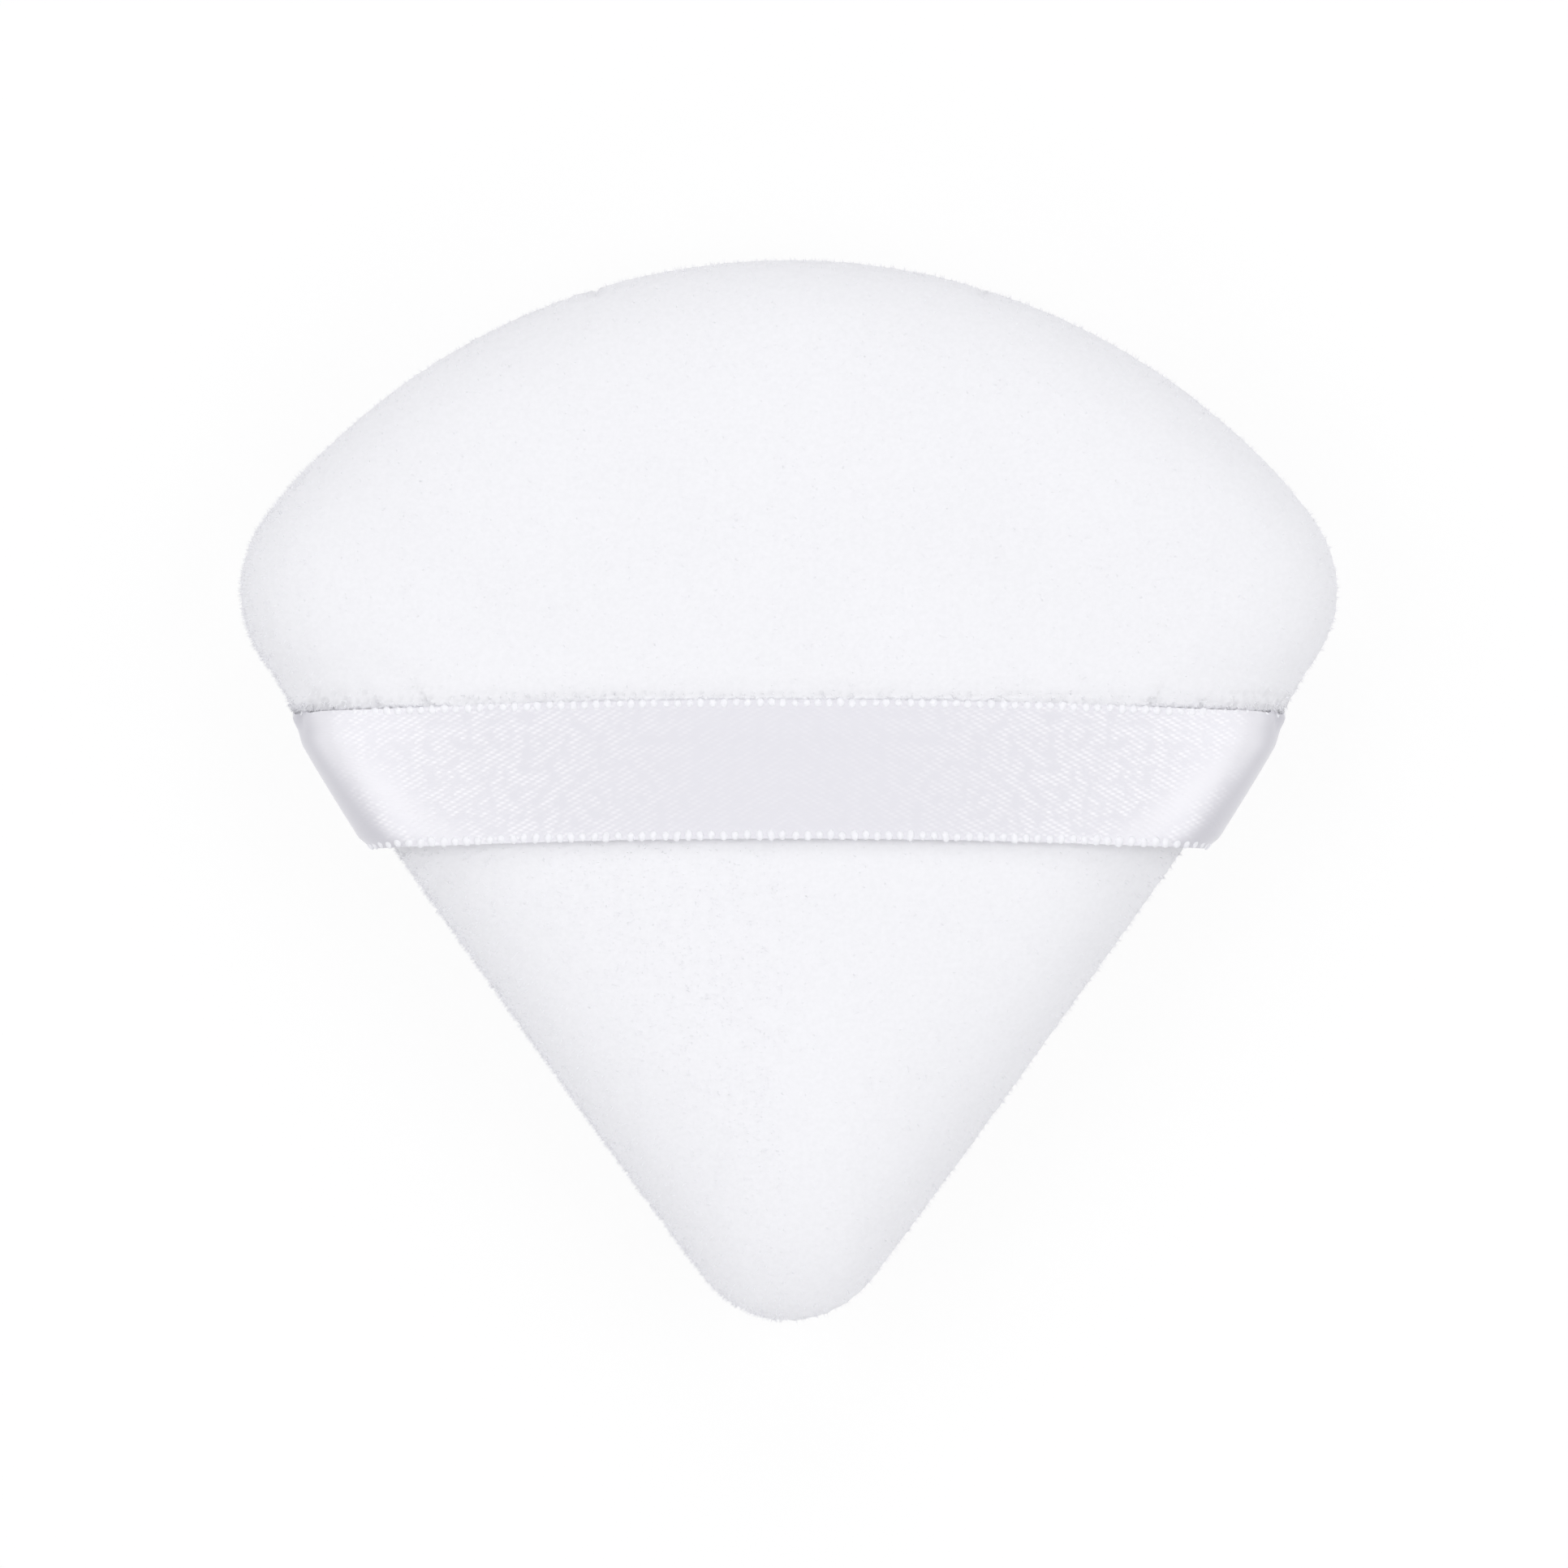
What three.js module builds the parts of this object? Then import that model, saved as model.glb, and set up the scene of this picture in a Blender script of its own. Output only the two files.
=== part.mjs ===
// A fan-shaped velour powder puff with a satin finger ribbon, in millimetres, lying on its back.
// +X is the puff's width, +Y runs from its narrow tip to its broad arc, +Z points out of the ribbon.
// Two velour covers are sewn together inside out and turned, so their seam allowances lie inside,
// face to face, and the ribbon's ends are caught between them. A sponge core fills the covers.
// Heights are measured from the seam's plane until the whole puff is set down on its flat at the end.
import * as THREE from "three";

// Outline of the covers: a broad arc, two corners, two nearly straight sides and a tip.
const puff_width = 70;
const puff_length = 67.7;
const broad_arc_radius = 42.2;
const corner_radius = 7.85;
const side_radius = 1466;
const tip_radius = 6.85;

// Thickness: each cover swells from the seam to its crown.
const cover_crown = 7;
const crown_y = 6; // the thickest point, above the middle of the length
const crown_power = 6; // 2 gives an ellipsoid, and more gives a fuller shoulder
const rest_cut = 0.5; // how far the back's crown is pressed flat where the puff rests

// Velour and its seam.
const velour_thickness = 1.2;
const seam_gap = 0.5; // between the two allowances, where the ribbon's ends lie
const seam_roll = 0.8; // radius with which the velour turns in to the seam
const seam_allowance = 4.2; // from the outline in to the velour's raw edge

// Sponge core.
const core_clearance = 0.3;

// Ribbon, whose middle lifts as the finger band and whose ends are sewn in as tails.
const ribbon_width = 9.2;
const ribbon_thickness = 0.25;
const ribbon_y = 1.35; // its centre line at the middle of the puff
const ribbon_bow = 1.1; // how far that line drops towards the tip, at half the puff's width
const ribbon_clearance = 0.2; // over the velour
const ribbon_stand_off = 0.9; // how much higher its lower edge stands where it rounds the side
const tail_reach = 7; // from the side's outline in to where the lifting band begins
const tail_gap = 0.3; // between a tail and the band

// Threads.
const thread_diameter = 0.3;
const thread_clearance = 0.1;
const stitch_line = 2.2; // from the outline in to the machine seam
const closing_length = 25; // the turning gap in the broad arc, which is closed by hand
const closing_thread_diameter = 0.25;
const closing_stitch = 2.5;
const closing_depth = 1.4; // how far each closing stitch reaches in from the roll of the seam

// Counts of facets.
const broad_arc_steps = 14;
const corner_steps = 6;
const side_steps = 10;
const tip_steps = 8;
const outer_rings = 11;
const back_rings = 8;
const inner_rings = 8;
const band_steps = 24;
const shoulder_steps = 8;
const roll_steps = 2;
const ribbon_steps_across = 4;
const thread_sides = 6;
const steps_per_stitch = 8;
const bisections = 40;
const outline_detail = 4; // outline facets per station, where the ribbon is laid on the cover

// Heights above the seam's plane.
const lip_z = seam_gap / 2;
const shoulder_z = lip_z + seam_roll; // where a cover is widest
const allowance_z = lip_z + velour_thickness;
const core_lip_z = allowance_z + thread_diameter + 2 * thread_clearance;
const crown_z = lip_z + cover_crown;
const crown_rise = crown_z - shoulder_z;

const velour = () => new THREE.MeshStandardMaterial({ color: 0xf5f4f7, roughness: 1, metalness: 0 });
const satin = () => new THREE.MeshStandardMaterial({ color: 0xf3f2f6, roughness: 0.35, metalness: 0 });
const foam = () => new THREE.MeshStandardMaterial({ color: 0xf2ead6, roughness: 0.95, metalness: 0 });
const cotton = () => new THREE.MeshStandardMaterial({ color: 0xf2f2f2, roughness: 0.8, metalness: 0 });

const lerp = THREE.MathUtils.lerp;
const quarter_turn = Math.PI / 2;

// Outline

// Where two circles cross: the crossing that lies to the left of the way from a to b.
function crossing(a, a_radius, b, b_radius) {
  const way = b.clone().sub(a);
  const distance = way.length();
  way.normalize();
  const along = (distance ** 2 + a_radius ** 2 - b_radius ** 2) / (2 * distance);
  const aside = Math.sqrt(a_radius ** 2 - along ** 2);
  const left = new THREE.Vector2(-way.y, way.x);
  return a.clone().addScaledVector(way, along).addScaledVector(left, aside);
}

// The direction, as an angle, in which one arc's centre sees the next arc's centre or its own end.
const bearing = (from, to) => Math.atan2(to.y - from.y, to.x - from.x);

// The right half's arcs from the tip to the top of the broad arc, each tangent to the next.
function halfArcs() {
  const half_length = puff_length / 2;
  const broad = new THREE.Vector2(0, half_length - broad_arc_radius);
  const corner_x = puff_width / 2 - corner_radius;
  const corner_rise = Math.sqrt((broad_arc_radius - corner_radius) ** 2 - corner_x ** 2);
  const corner = new THREE.Vector2(corner_x, broad.y + corner_rise);
  const tip = new THREE.Vector2(0, tip_radius - half_length);
  const side = crossing(tip, side_radius - tip_radius, corner, side_radius - corner_radius);
  const tip_end = bearing(side, tip);
  const side_end = bearing(side, corner);
  const corner_end = bearing(broad, corner);
  const arc = (centre, radius, from, to, steps) => ({ centre, radius, from, to, steps });
  return [
    arc(tip, tip_radius, -quarter_turn, tip_end, tip_steps / 2),
    arc(side, side_radius, tip_end, side_end, side_steps),
    arc(corner, corner_radius, side_end, corner_end, corner_steps),
    arc(broad, broad_arc_radius, corner_end, quarter_turn, broad_arc_steps / 2),
  ];
}

// A place on an arc: its point, the outward normal there and the angle that sets them.
function station(arc, angle) {
  const normal = new THREE.Vector2(Math.cos(angle), Math.sin(angle));
  return { point: arc.centre.clone().addScaledVector(normal, arc.radius), normal, angle };
}

// Stations round the outline, counter-clockwise from the tip.
function outline(detail) {
  const arcs = halfArcs();
  const right = [];
  for (const arc of arcs) {
    const steps = arc.steps * detail;
    for (let i = 0; i < steps; i++) {
      right.push(station(arc, lerp(arc.from, arc.to, i / steps)));
    }
  }
  const top = station(arcs.at(-1), quarter_turn);
  const left = right.slice(1).reverse().map(({ point, normal, angle }) => ({
    point: new THREE.Vector2(-point.x, point.y),
    normal: new THREE.Vector2(-normal.x, normal.y),
    angle: Math.PI - angle,
  }));
  return [...right, top, ...left];
}

const stations = outline(1);
const hub = new THREE.Vector2(0, crown_y);

// Solids

// A closed body from points and quads or triangles, with its faces turned out.
function body(points, faces) {
  const triangles = faces.flatMap(([a, b, c, d]) => (d === undefined ? [[a, b, c]] : [[a, b, c], [a, c, d]]));
  const six_volumes = triangles.reduce((sum, [a, b, c]) => {
    return sum + points[a].dot(new THREE.Vector3().crossVectors(points[b], points[c]));
  }, 0);
  const index = triangles.flatMap(([a, b, c]) => (six_volumes < 0 ? [a, c, b] : [a, b, c]));
  const geometry = new THREE.BufferGeometry().setFromPoints(points);
  geometry.setIndex(index);
  geometry.computeVertexNormals();
  return geometry;
}

// A body whose rings follow the outline. A ring is the outline, drawn in by inset and then scaled
// about the hub by share, at height z. The first and the last ring have a share of zero: the poles.
function ringed(rings) {
  const points = [];
  const rows = rings.map((ring) => {
    const at_stations = ring.share === 0 ? stations.slice(0, 1) : stations;
    return at_stations.map(({ point, normal }) => {
      const drawn_in = point.clone().addScaledVector(normal, -ring.inset);
      const scaled = hub.clone().lerp(drawn_in, ring.share);
      points.push(new THREE.Vector3(scaled.x, scaled.y, ring.z));
      return points.length - 1;
    });
  });
  const faces = [];
  for (let r = 1; r < rows.length; r++) {
    for (let i = 0; i < stations.length; i++) {
      const next = (i + 1) % stations.length;
      const above = rows[r - 1];
      const below = rows[r];
      if (above.length === 1) {
        faces.push([above[0], below[i], below[next]]);
      } else if (below.length === 1) {
        faces.push([above[i], below[0], above[next]]);
      } else {
        faces.push([above[i], below[i], below[next], above[next]]);
      }
    }
  }
  return body(points, faces);
}

// A body through closed sections of the same count of points, each end closed by a strip of quads
// between the points that face each other.
function lofted(sections) {
  const count = sections[0].length;
  const faces = [];
  for (let s = 1; s < sections.length; s++) {
    const here = s * count;
    const before = here - count;
    for (let i = 0; i < count; i++) {
      const next = (i + 1) % count;
      faces.push([before + i, here + i, here + next, before + next]);
    }
  }
  const last = (sections.length - 1) * count;
  for (let i = 0; i < count / 2 - 1; i++) {
    const cap = [i, i + 1, count - 2 - i, count - 1 - i];
    faces.push(cap);
    faces.push(cap.map((point) => last + point).reverse());
  }
  return body(sections.flat(), faces);
}

// Covers and core

const domeShare = (height_share) => (1 - height_share ** 2) ** (1 / crown_power);
const domeHeightShare = (share) => Math.sqrt(Math.max(0, 1 - share ** crown_power));

// Rings of a swelling surface that rises from base_z to base_z + rise, from one share to another,
// closer together towards the shoulder.
function domeRings(inset, base_z, rise, from_share, to_share, count) {
  const rings = [];
  for (let i = 0; i <= count; i++) {
    const share = Math.sin(lerp(Math.asin(from_share), Math.asin(to_share), i / count));
    rings.push({ inset, share, z: base_z + rise * domeHeightShare(share) });
  }
  return rings;
}

// The velour turns in from the shoulder to the seam, and its raw edge is the allowance's inner end.
function seamRings() {
  const rings = [];
  for (let i = 1; i <= roll_steps; i++) {
    const angle = (quarter_turn * i) / roll_steps;
    const inset = seam_roll * (1 - Math.cos(angle));
    rings.push({ inset, share: 1, z: shoulder_z - seam_roll * Math.sin(angle) });
  }
  rings.push({ inset: seam_allowance, share: 1, z: lip_z });
  rings.push({ inset: seam_allowance, share: 1, z: allowance_z });
  return rings;
}

const lining_rise = crown_z - velour_thickness - allowance_z;
const liningRings = () => domeRings(velour_thickness, allowance_z, lining_rise, 0, 1, inner_rings);
const mirrored = (rings) => rings.map((ring) => ({ ...ring, z: -ring.z }));

function frontCover() {
  const outside = domeRings(0, shoulder_z, crown_rise, 0, 1, outer_rings);
  return ringed([...outside, ...seamRings(), ...liningRings().reverse()]);
}

function backCover() {
  const flat_share = domeShare((crown_rise - rest_cut) / crown_rise);
  const pole = { inset: 0, share: 0, z: crown_z - rest_cut };
  const outside = domeRings(0, shoulder_z, crown_rise, flat_share, 1, back_rings);
  return ringed(mirrored([pole, ...outside, ...seamRings(), ...liningRings().reverse()]));
}

// The allowances press a groove into the sponge's edge.
function spongeCore() {
  const inset = velour_thickness + core_clearance;
  const rise = lining_rise - core_clearance;
  const edge_share = domeShare((core_lip_z - allowance_z) / rise);
  const upper = domeRings(inset, allowance_z, rise, 0, edge_share, inner_rings);
  upper.push({ inset: seam_allowance + core_clearance, share: 1, z: core_lip_z });
  return ringed([...upper, ...mirrored(upper).reverse()]);
}

// Ribbon

const rim = outline(outline_detail);
const rim_edges = rim.map(({ point }, i) => {
  const way = rim[(i + 1) % rim.length].point.clone().sub(point);
  const normal = new THREE.Vector2(way.y, -way.x).normalize();
  return { normal, reach: normal.dot(point.clone().sub(hub)) };
});

// The edge of the outline that a point faces from the hub, and the point's share of the way to it.
function facing(x, y) {
  const away = new THREE.Vector2(x, y).sub(hub);
  let found = { share: 0, edge: rim_edges[0] };
  for (const edge of rim_edges) {
    const share = edge.normal.dot(away) / edge.reach;
    if (share > found.share) found = { share, edge };
  }
  return found;
}

// The line that the ribbon follows, across being -1 at its lower edge and 1 at its upper edge.
const ribbonLine = (x, across) => {
  const bow = ribbon_bow * (x / (puff_width / 2)) ** 2;
  return ribbon_y + (across * ribbon_width) / 2 - bow;
};

const ribbon_lift = ribbon_clearance + ribbon_thickness / 2;

// A point of the ribbon's middle layer over the front cover, and the direction of its thickness.
function overCover(x, across, lift) {
  const y = ribbonLine(x, across);
  const { share, edge } = facing(x, y);
  const height = crown_rise * domeHeightShare(share);
  const steepness = (crown_power * share ** (crown_power - 1)) / edge.reach;
  const aside = edge.normal.clone().multiplyScalar(steepness);
  const normal = new THREE.Vector3(aside.x, aside.y, (2 * height) / crown_rise ** 2).normalize();
  const centre = new THREE.Vector3(x, y, shoulder_z + height).addScaledVector(normal, lift);
  return { centre, normal };
}

// Where a line of the ribbon, to the right of the middle, is a given share of the way out.
function lineAtShare(share, across) {
  let near = 0;
  let far = puff_width / 2;
  for (let i = 0; i < bisections; i++) {
    const x = (near + far) / 2;
    if (facing(x, ribbonLine(x, across)).share < share) {
      near = x;
    } else {
      far = x;
    }
  }
  return near;
}

// The share of the way out at which the ribbon is a given distance in from the side's outline.
const side_reach = facing(puff_width / 2, ribbon_y).edge.reach;
const shareInFromSide = (inset) => 1 - inset / side_reach;

const acrossRibbon = (k) => (2 * k) / ribbon_steps_across - 1;

// The tail's run at one place across the ribbon: over the shoulder, round the side, into the seam.
function tailRun(across) {
  const run = [];
  const extra = ribbon_stand_off * Math.sqrt((1 - across) / 2);
  const start_turn = Math.asin(shareInFromSide(tail_reach));
  for (let j = 0; j <= shoulder_steps; j++) {
    const done = j / shoulder_steps;
    const share = Math.sin(lerp(start_turn, quarter_turn, done));
    const x = lineAtShare(share, across);
    run.push(overCover(x, across, ribbon_lift + extra * THREE.MathUtils.smoothstep(done, 0, 1)));
  }
  const side_x = lineAtShare(1, across);
  const out = facing(side_x, ribbonLine(side_x, across)).edge.normal;
  const onSection = (outward, z) =>
    new THREE.Vector3(side_x + out.x * outward, ribbonLine(side_x, across) + out.y * outward, z);
  const radius = seam_roll + ribbon_lift + extra;
  const seam_turn = Math.asin(Math.min(1, shoulder_z / radius));
  for (let j = 1; j <= roll_steps; j++) {
    const turn = (seam_turn * j) / roll_steps;
    const outward = radius * Math.cos(turn) - seam_roll;
    const normal = new THREE.Vector3(out.x * Math.cos(turn), out.y * Math.cos(turn), -Math.sin(turn));
    if (j === roll_steps) mitre(normal);
    run.push({ centre: onSection(outward, shoulder_z - radius * Math.sin(turn)), normal });
  }
  run.push({ centre: onSection(-seam_allowance, 0), normal: new THREE.Vector3(0, 0, -1) });
  return run;
}

// The direction of the ribbon's thickness where it folds level, long enough for a mitred fold.
function mitre(normal) {
  const level = new THREE.Vector3(0, 0, -1);
  const fold = 1 + normal.dot(level);
  normal.add(level).divideScalar(fold);
}

// Runs side by side become sections across the ribbon: its face from edge to edge, then its back.
function ribbonBody(runs) {
  const sections = runs[0].map((_, j) => {
    const layer = (offset) => runs.map((run) => run[j].centre.clone().addScaledVector(run[j].normal, offset));
    return [...layer(ribbon_thickness / 2), ...layer(-ribbon_thickness / 2).reverse()];
  });
  return lofted(sections);
}

function ribbonBand() {
  const runs = [];
  for (let k = 0; k <= ribbon_steps_across; k++) {
    const across = acrossRibbon(k);
    const end_x = lineAtShare(shareInFromSide(tail_reach + tail_gap), across);
    const run = [];
    for (let j = 0; j <= band_steps; j++) {
      run.push(overCover(lerp(-end_x, end_x, j / band_steps), across, ribbon_lift));
    }
    runs.push(run);
  }
  return ribbonBody(runs);
}

function ribbonTail(side) {
  const runs = [];
  for (let k = 0; k <= ribbon_steps_across; k++) {
    const run = tailRun(acrossRibbon(k));
    const mirror = new THREE.Vector3(side, 1, 1);
    run.forEach(({ centre, normal }) => {
      centre.multiply(mirror);
      normal.multiply(mirror);
    });
    runs.push(run);
  }
  return ribbonBody(runs);
}

// Threads

// A section of the machine seam's thread, square to the outline at a station.
function threadSection({ point, normal }, z) {
  const section = [];
  for (let i = 0; i < thread_sides; i++) {
    const angle = (2 * Math.PI * (i + 1 / 2)) / thread_sides;
    const out = (thread_diameter / 2) * Math.cos(angle) - stitch_line;
    const up = (thread_diameter / 2) * Math.sin(angle);
    section.push(new THREE.Vector3(point.x + normal.x * out, point.y + normal.y * out, z + up));
  }
  return section;
}

// One thread of the machine seam, which runs round the puff from one end of the turning gap to the
// other, on the inner face of an allowance.
function seamThread(side) {
  const broad = halfArcs().at(-1);
  const half_angle = closing_length / 2 / (broad_arc_radius - stitch_line);
  const from_top = [...stations.slice(stations.length / 2), ...stations.slice(0, stations.length / 2)];
  const path = [
    station(broad, quarter_turn + half_angle),
    ...from_top.filter(({ angle }) => Math.abs(angle - quarter_turn) > half_angle),
    station(broad, quarter_turn - half_angle),
  ];
  const z = side * (allowance_z + thread_clearance + thread_diameter / 2);
  return lofted(path.map((place) => threadSection(place, z)));
}

// The closing thread weaves in and out between the allowances along the turning gap.
function closingThread() {
  const broad = halfArcs().at(-1);
  const stitches = Math.round(closing_length / closing_stitch);
  const count = stitches * steps_per_stitch;
  const points = [];
  for (let i = 0; i <= count; i++) {
    const along = closing_length * (i / count - 1 / 2);
    const reach = (closing_depth / 2) * (1 - Math.cos((2 * Math.PI * i) / steps_per_stitch));
    const inset = seam_roll + closing_thread_diameter + reach;
    const { point, normal } = station(broad, quarter_turn + along / broad_arc_radius);
    points.push(new THREE.Vector3(point.x - normal.x * inset, point.y - normal.y * inset, 0));
  }
  const corners = [];
  for (let i = 0; i < thread_sides; i++) {
    const angle = (2 * Math.PI * i) / thread_sides;
    corners.push(new THREE.Vector2(Math.cos(angle), Math.sin(angle)));
  }
  corners.forEach((corner) => corner.multiplyScalar(closing_thread_diameter / 2));
  const section = new THREE.Shape(corners);
  const extrudePath = new THREE.CatmullRomCurve3(points);
  return new THREE.ExtrudeGeometry(section, { steps: count, extrudePath, bevelEnabled: false });
}

// Assembly

function piece(name, geometry, material) {
  const mesh = new THREE.Mesh(geometry, material);
  mesh.name = name;
  return mesh;
}

const covers = new THREE.Group();
covers.add(piece("front_cover", frontCover(), velour()));
covers.add(piece("back_cover", backCover(), velour()));

const ribbon = new THREE.Group();
ribbon.add(piece("ribbon_band", ribbonBand(), satin()));
ribbon.add(piece("ribbon_tail_left", ribbonTail(-1), satin()));
ribbon.add(piece("ribbon_tail_right", ribbonTail(1), satin()));

const threads = new THREE.Group();
threads.add(piece("needle_thread", seamThread(1), cotton()));
threads.add(piece("bobbin_thread", seamThread(-1), cotton()));
threads.add(piece("closing_thread", closingThread(), cotton()));

const puff = new THREE.Group();
puff.add(covers, ribbon, threads, piece("sponge_core", spongeCore(), foam()));
puff.position.z = crown_z - rest_cut;

export default puff;
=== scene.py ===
# %% [markdown]
# # A fan-shaped velour powder puff
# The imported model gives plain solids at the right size: two velour covers, a sponge,
# a satin finger ribbon and the threads. This lesson dresses each of them as the real
# thing is made: the covers as cut-pile velour that swells over its sponge, the ribbon
# as woven satin with looped edges, and the seams with real stitches. All lengths are
# given in millimetres and turned into metres by one small helper.

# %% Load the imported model
import math
import random

import bmesh
import bpy
import numpy as np
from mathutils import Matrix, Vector, noise


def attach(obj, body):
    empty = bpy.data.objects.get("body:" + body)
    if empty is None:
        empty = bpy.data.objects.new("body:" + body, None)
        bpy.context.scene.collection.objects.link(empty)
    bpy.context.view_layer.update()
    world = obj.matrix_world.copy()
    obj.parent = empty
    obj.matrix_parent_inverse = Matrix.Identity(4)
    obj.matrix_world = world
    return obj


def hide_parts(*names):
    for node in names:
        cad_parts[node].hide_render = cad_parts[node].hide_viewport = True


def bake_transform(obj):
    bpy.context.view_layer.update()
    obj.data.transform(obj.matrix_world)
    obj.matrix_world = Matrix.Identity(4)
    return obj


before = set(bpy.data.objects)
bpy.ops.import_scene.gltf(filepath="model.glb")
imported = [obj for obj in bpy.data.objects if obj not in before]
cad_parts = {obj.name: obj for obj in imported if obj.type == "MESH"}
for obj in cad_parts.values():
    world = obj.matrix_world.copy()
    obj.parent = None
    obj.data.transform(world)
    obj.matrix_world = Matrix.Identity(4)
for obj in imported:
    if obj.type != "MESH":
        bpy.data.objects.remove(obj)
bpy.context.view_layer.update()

MM = 0.001


def mm(*values):
    """Millimetres as metres, ready for Blender."""
    return tuple(value * MM for value in values)


# %% [markdown]
# ## The camera
# The photograph looks straight down on the puff from far off and is then cropped, so
# a long lens far above gives the same flat view. One pixel of the 1932 pixel picture
# is 0.05166 mm on the puff, which sets how wide the frame is at the seam's height.

# %% Set the camera over the puff
seam_height = 6.75  # the seam's plane above the table
picture_pixels, pixel_size = 1932, 0.05166
frame_width = picture_pixels * pixel_size
camera_height, film_width = 900, 36
picture_middle = (-0.32, 0.37)

camera_data = bpy.data.cameras.new("camera_above")
camera_data.sensor_width = film_width
camera_data.lens = film_width * camera_height / frame_width
camera_data.clip_start, camera_data.clip_end = 0.05, 20
camera = bpy.data.objects.new("camera_above", camera_data)
camera.location = mm(*picture_middle, seam_height + camera_height)
bpy.context.scene.collection.objects.link(camera)
bpy.context.scene.camera = camera
print("lens:", round(camera_data.lens, 1), "mm, frame:", round(frame_width, 2), "mm wide")

# %% [markdown]
# ## Light
# White cloth shows its shape only through soft steps of grey. Two tall softboxes bend
# over the puff from left and right, because satin turns bright where it tilts towards
# them. Two smaller and lower ones light the rim at the broad side and at the tip, the
# first a little stronger, as the rim there is the lightest in the photograph. The rest
# is a white room. Together they light a flat surface at a level of one, so that a colour
# renders as it is written.

# %% Hang the softboxes
puff_middle = (0, 0, 7)
room_tint, room_strength = (0.975, 0.975, 1.0, 1.0), 0.345


def softbox(name, place, width, height, watts):
    """An area lamp that faces the puff; its place and size are in millimetres."""
    data = bpy.data.lights.new(name, "AREA")
    data.shape = "RECTANGLE"
    data.size, data.size_y = mm(width, height)
    data.energy = watts
    lamp = bpy.data.objects.new(name, data)
    lamp.location = mm(*place)
    toward = Vector(mm(*puff_middle)) - lamp.location
    lamp.rotation_euler = toward.to_track_quat("-Z", "Y").to_euler()
    bpy.context.scene.collection.objects.link(lamp)


softbox("softbox_left", (-551, 0, 587), width=942, height=620, watts=2.82)
softbox("softbox_right", (551, 0, 587), width=942, height=620, watts=2.82)
softbox("softbox_broad_side", (0, 760, 500), width=700, height=380, watts=1.9)
softbox("softbox_tip_side", (0, -745, 520), width=700, height=380, watts=1.5)

room = bpy.data.worlds.new("white_room")
bpy.context.scene.world = room
room.use_nodes = True
room_light = room.node_tree.nodes["Background"]
room_light.inputs["Color"].default_value = room_tint
room_light.inputs["Strength"].default_value = room_strength
bpy.context.scene.view_settings.view_transform = "Standard"

# %% [markdown]
# ## Colours and nodes
# Every colour is written as a hex code, the way a picture editor shows it, and one
# function turns it into the linear numbers that Blender's nodes want. One more small
# function adds a node, sets it and links it, so a material reads like a recipe.

# %% The helpers for all the materials
def colour(code):
    """A hex colour, as a picture editor shows it, in linear light."""
    channels = [int(code[i : i + 2], 16) / 255 for i in (1, 3, 5)]
    linear = [c / 12.92 if c <= 0.04045 else ((c + 0.055) / 1.055) ** 2.4 for c in channels]
    return (*linear, 1.0)


def plug(material, node, inputs):
    """Sets a node's inputs: each is a plain value, or the socket that feeds it."""
    for name, value in inputs.items():
        if isinstance(value, bpy.types.NodeSocket):
            material.node_tree.links.new(value, node.inputs[name])
        else:
            node.inputs[name].default_value = value


def add_node(material, kind, settings=None, inputs=None):
    """Adds a node of any kind with its settings and its inputs."""
    node = material.node_tree.nodes.new(kind)
    for name, value in (settings or {}).items():
        setattr(node, name, value)
    plug(material, node, inputs or {})
    return node


def new_finish(name):
    """An empty material and its shader, which the recipes fill in."""
    material = bpy.data.materials.new(name)
    material.use_nodes = True
    return material, material.node_tree.nodes["Principled BSDF"]


def per(size):
    """The texture scale at which one feature of the pattern measures size, in mm."""
    return 1 / (size * MM)


print("white cloth in linear light:", [round(c, 3) for c in colour("#f6f6f8")])

# %% [markdown]
# ## The table
# The puff lies on a plain white sheet. For the camera the sheet is almost all glow, so
# it meets the background of the photograph, and a part of its real shading is left in,
# which keeps the puff's soft shadow. For every other ray it is a pale matt board.

# %% Lay the white sheet
sheet_size = 6.0  # in metres, so that no view finds its end
glow_share = 0.88


def bare_hands():
    """Object mode with nothing selected, as every new piece starts."""
    if bpy.context.object and bpy.context.object.mode != "OBJECT":
        bpy.ops.object.mode_set(mode="OBJECT")
    bpy.ops.object.select_all(action="DESELECT")


bare_hands()
bpy.ops.mesh.primitive_plane_add(size=sheet_size, location=(0, 0, 0))
table = bpy.context.object
table.name = "white_sheet"

sheet_white, board = new_finish("matt_white_board")
plug(sheet_white, board, {
    "Base Color": colour("#f0f0f1"), "Roughness": 1.0, "Specular IOR Level": 0.0})
rays = add_node(sheet_white, "ShaderNodeLightPath").outputs
seen = rays["Is Camera Ray"]
for kind in ("Is Glossy Ray", "Is Transmission Ray"):
    either = add_node(sheet_white, "ShaderNodeMath", {"operation": "MAXIMUM"}, {
        0: seen, 1: rays[kind]})
    seen = either.outputs[0]
glow = add_node(sheet_white, "ShaderNodeEmission", inputs={
    "Color": (1, 1, 1, 1), "Strength": 1.0})
shaded = add_node(sheet_white, "ShaderNodeBsdfDiffuse", inputs={
    "Color": (1, 1, 1, 1), "Roughness": 0.0})
to_camera = add_node(sheet_white, "ShaderNodeMixShader", inputs={
    0: glow_share, 1: shaded.outputs[0], 2: glow.outputs[0]})
answer = add_node(sheet_white, "ShaderNodeMixShader", inputs={
    0: seen, 1: board.outputs[0], 2: to_camera.outputs[0]})
plug(sheet_white, sheet_white.node_tree.nodes["Material Output"], {"Surface": answer.outputs[0]})
table.data.materials.append(sheet_white)
print("sheet:", table.name, "glow share", glow_share)

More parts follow.
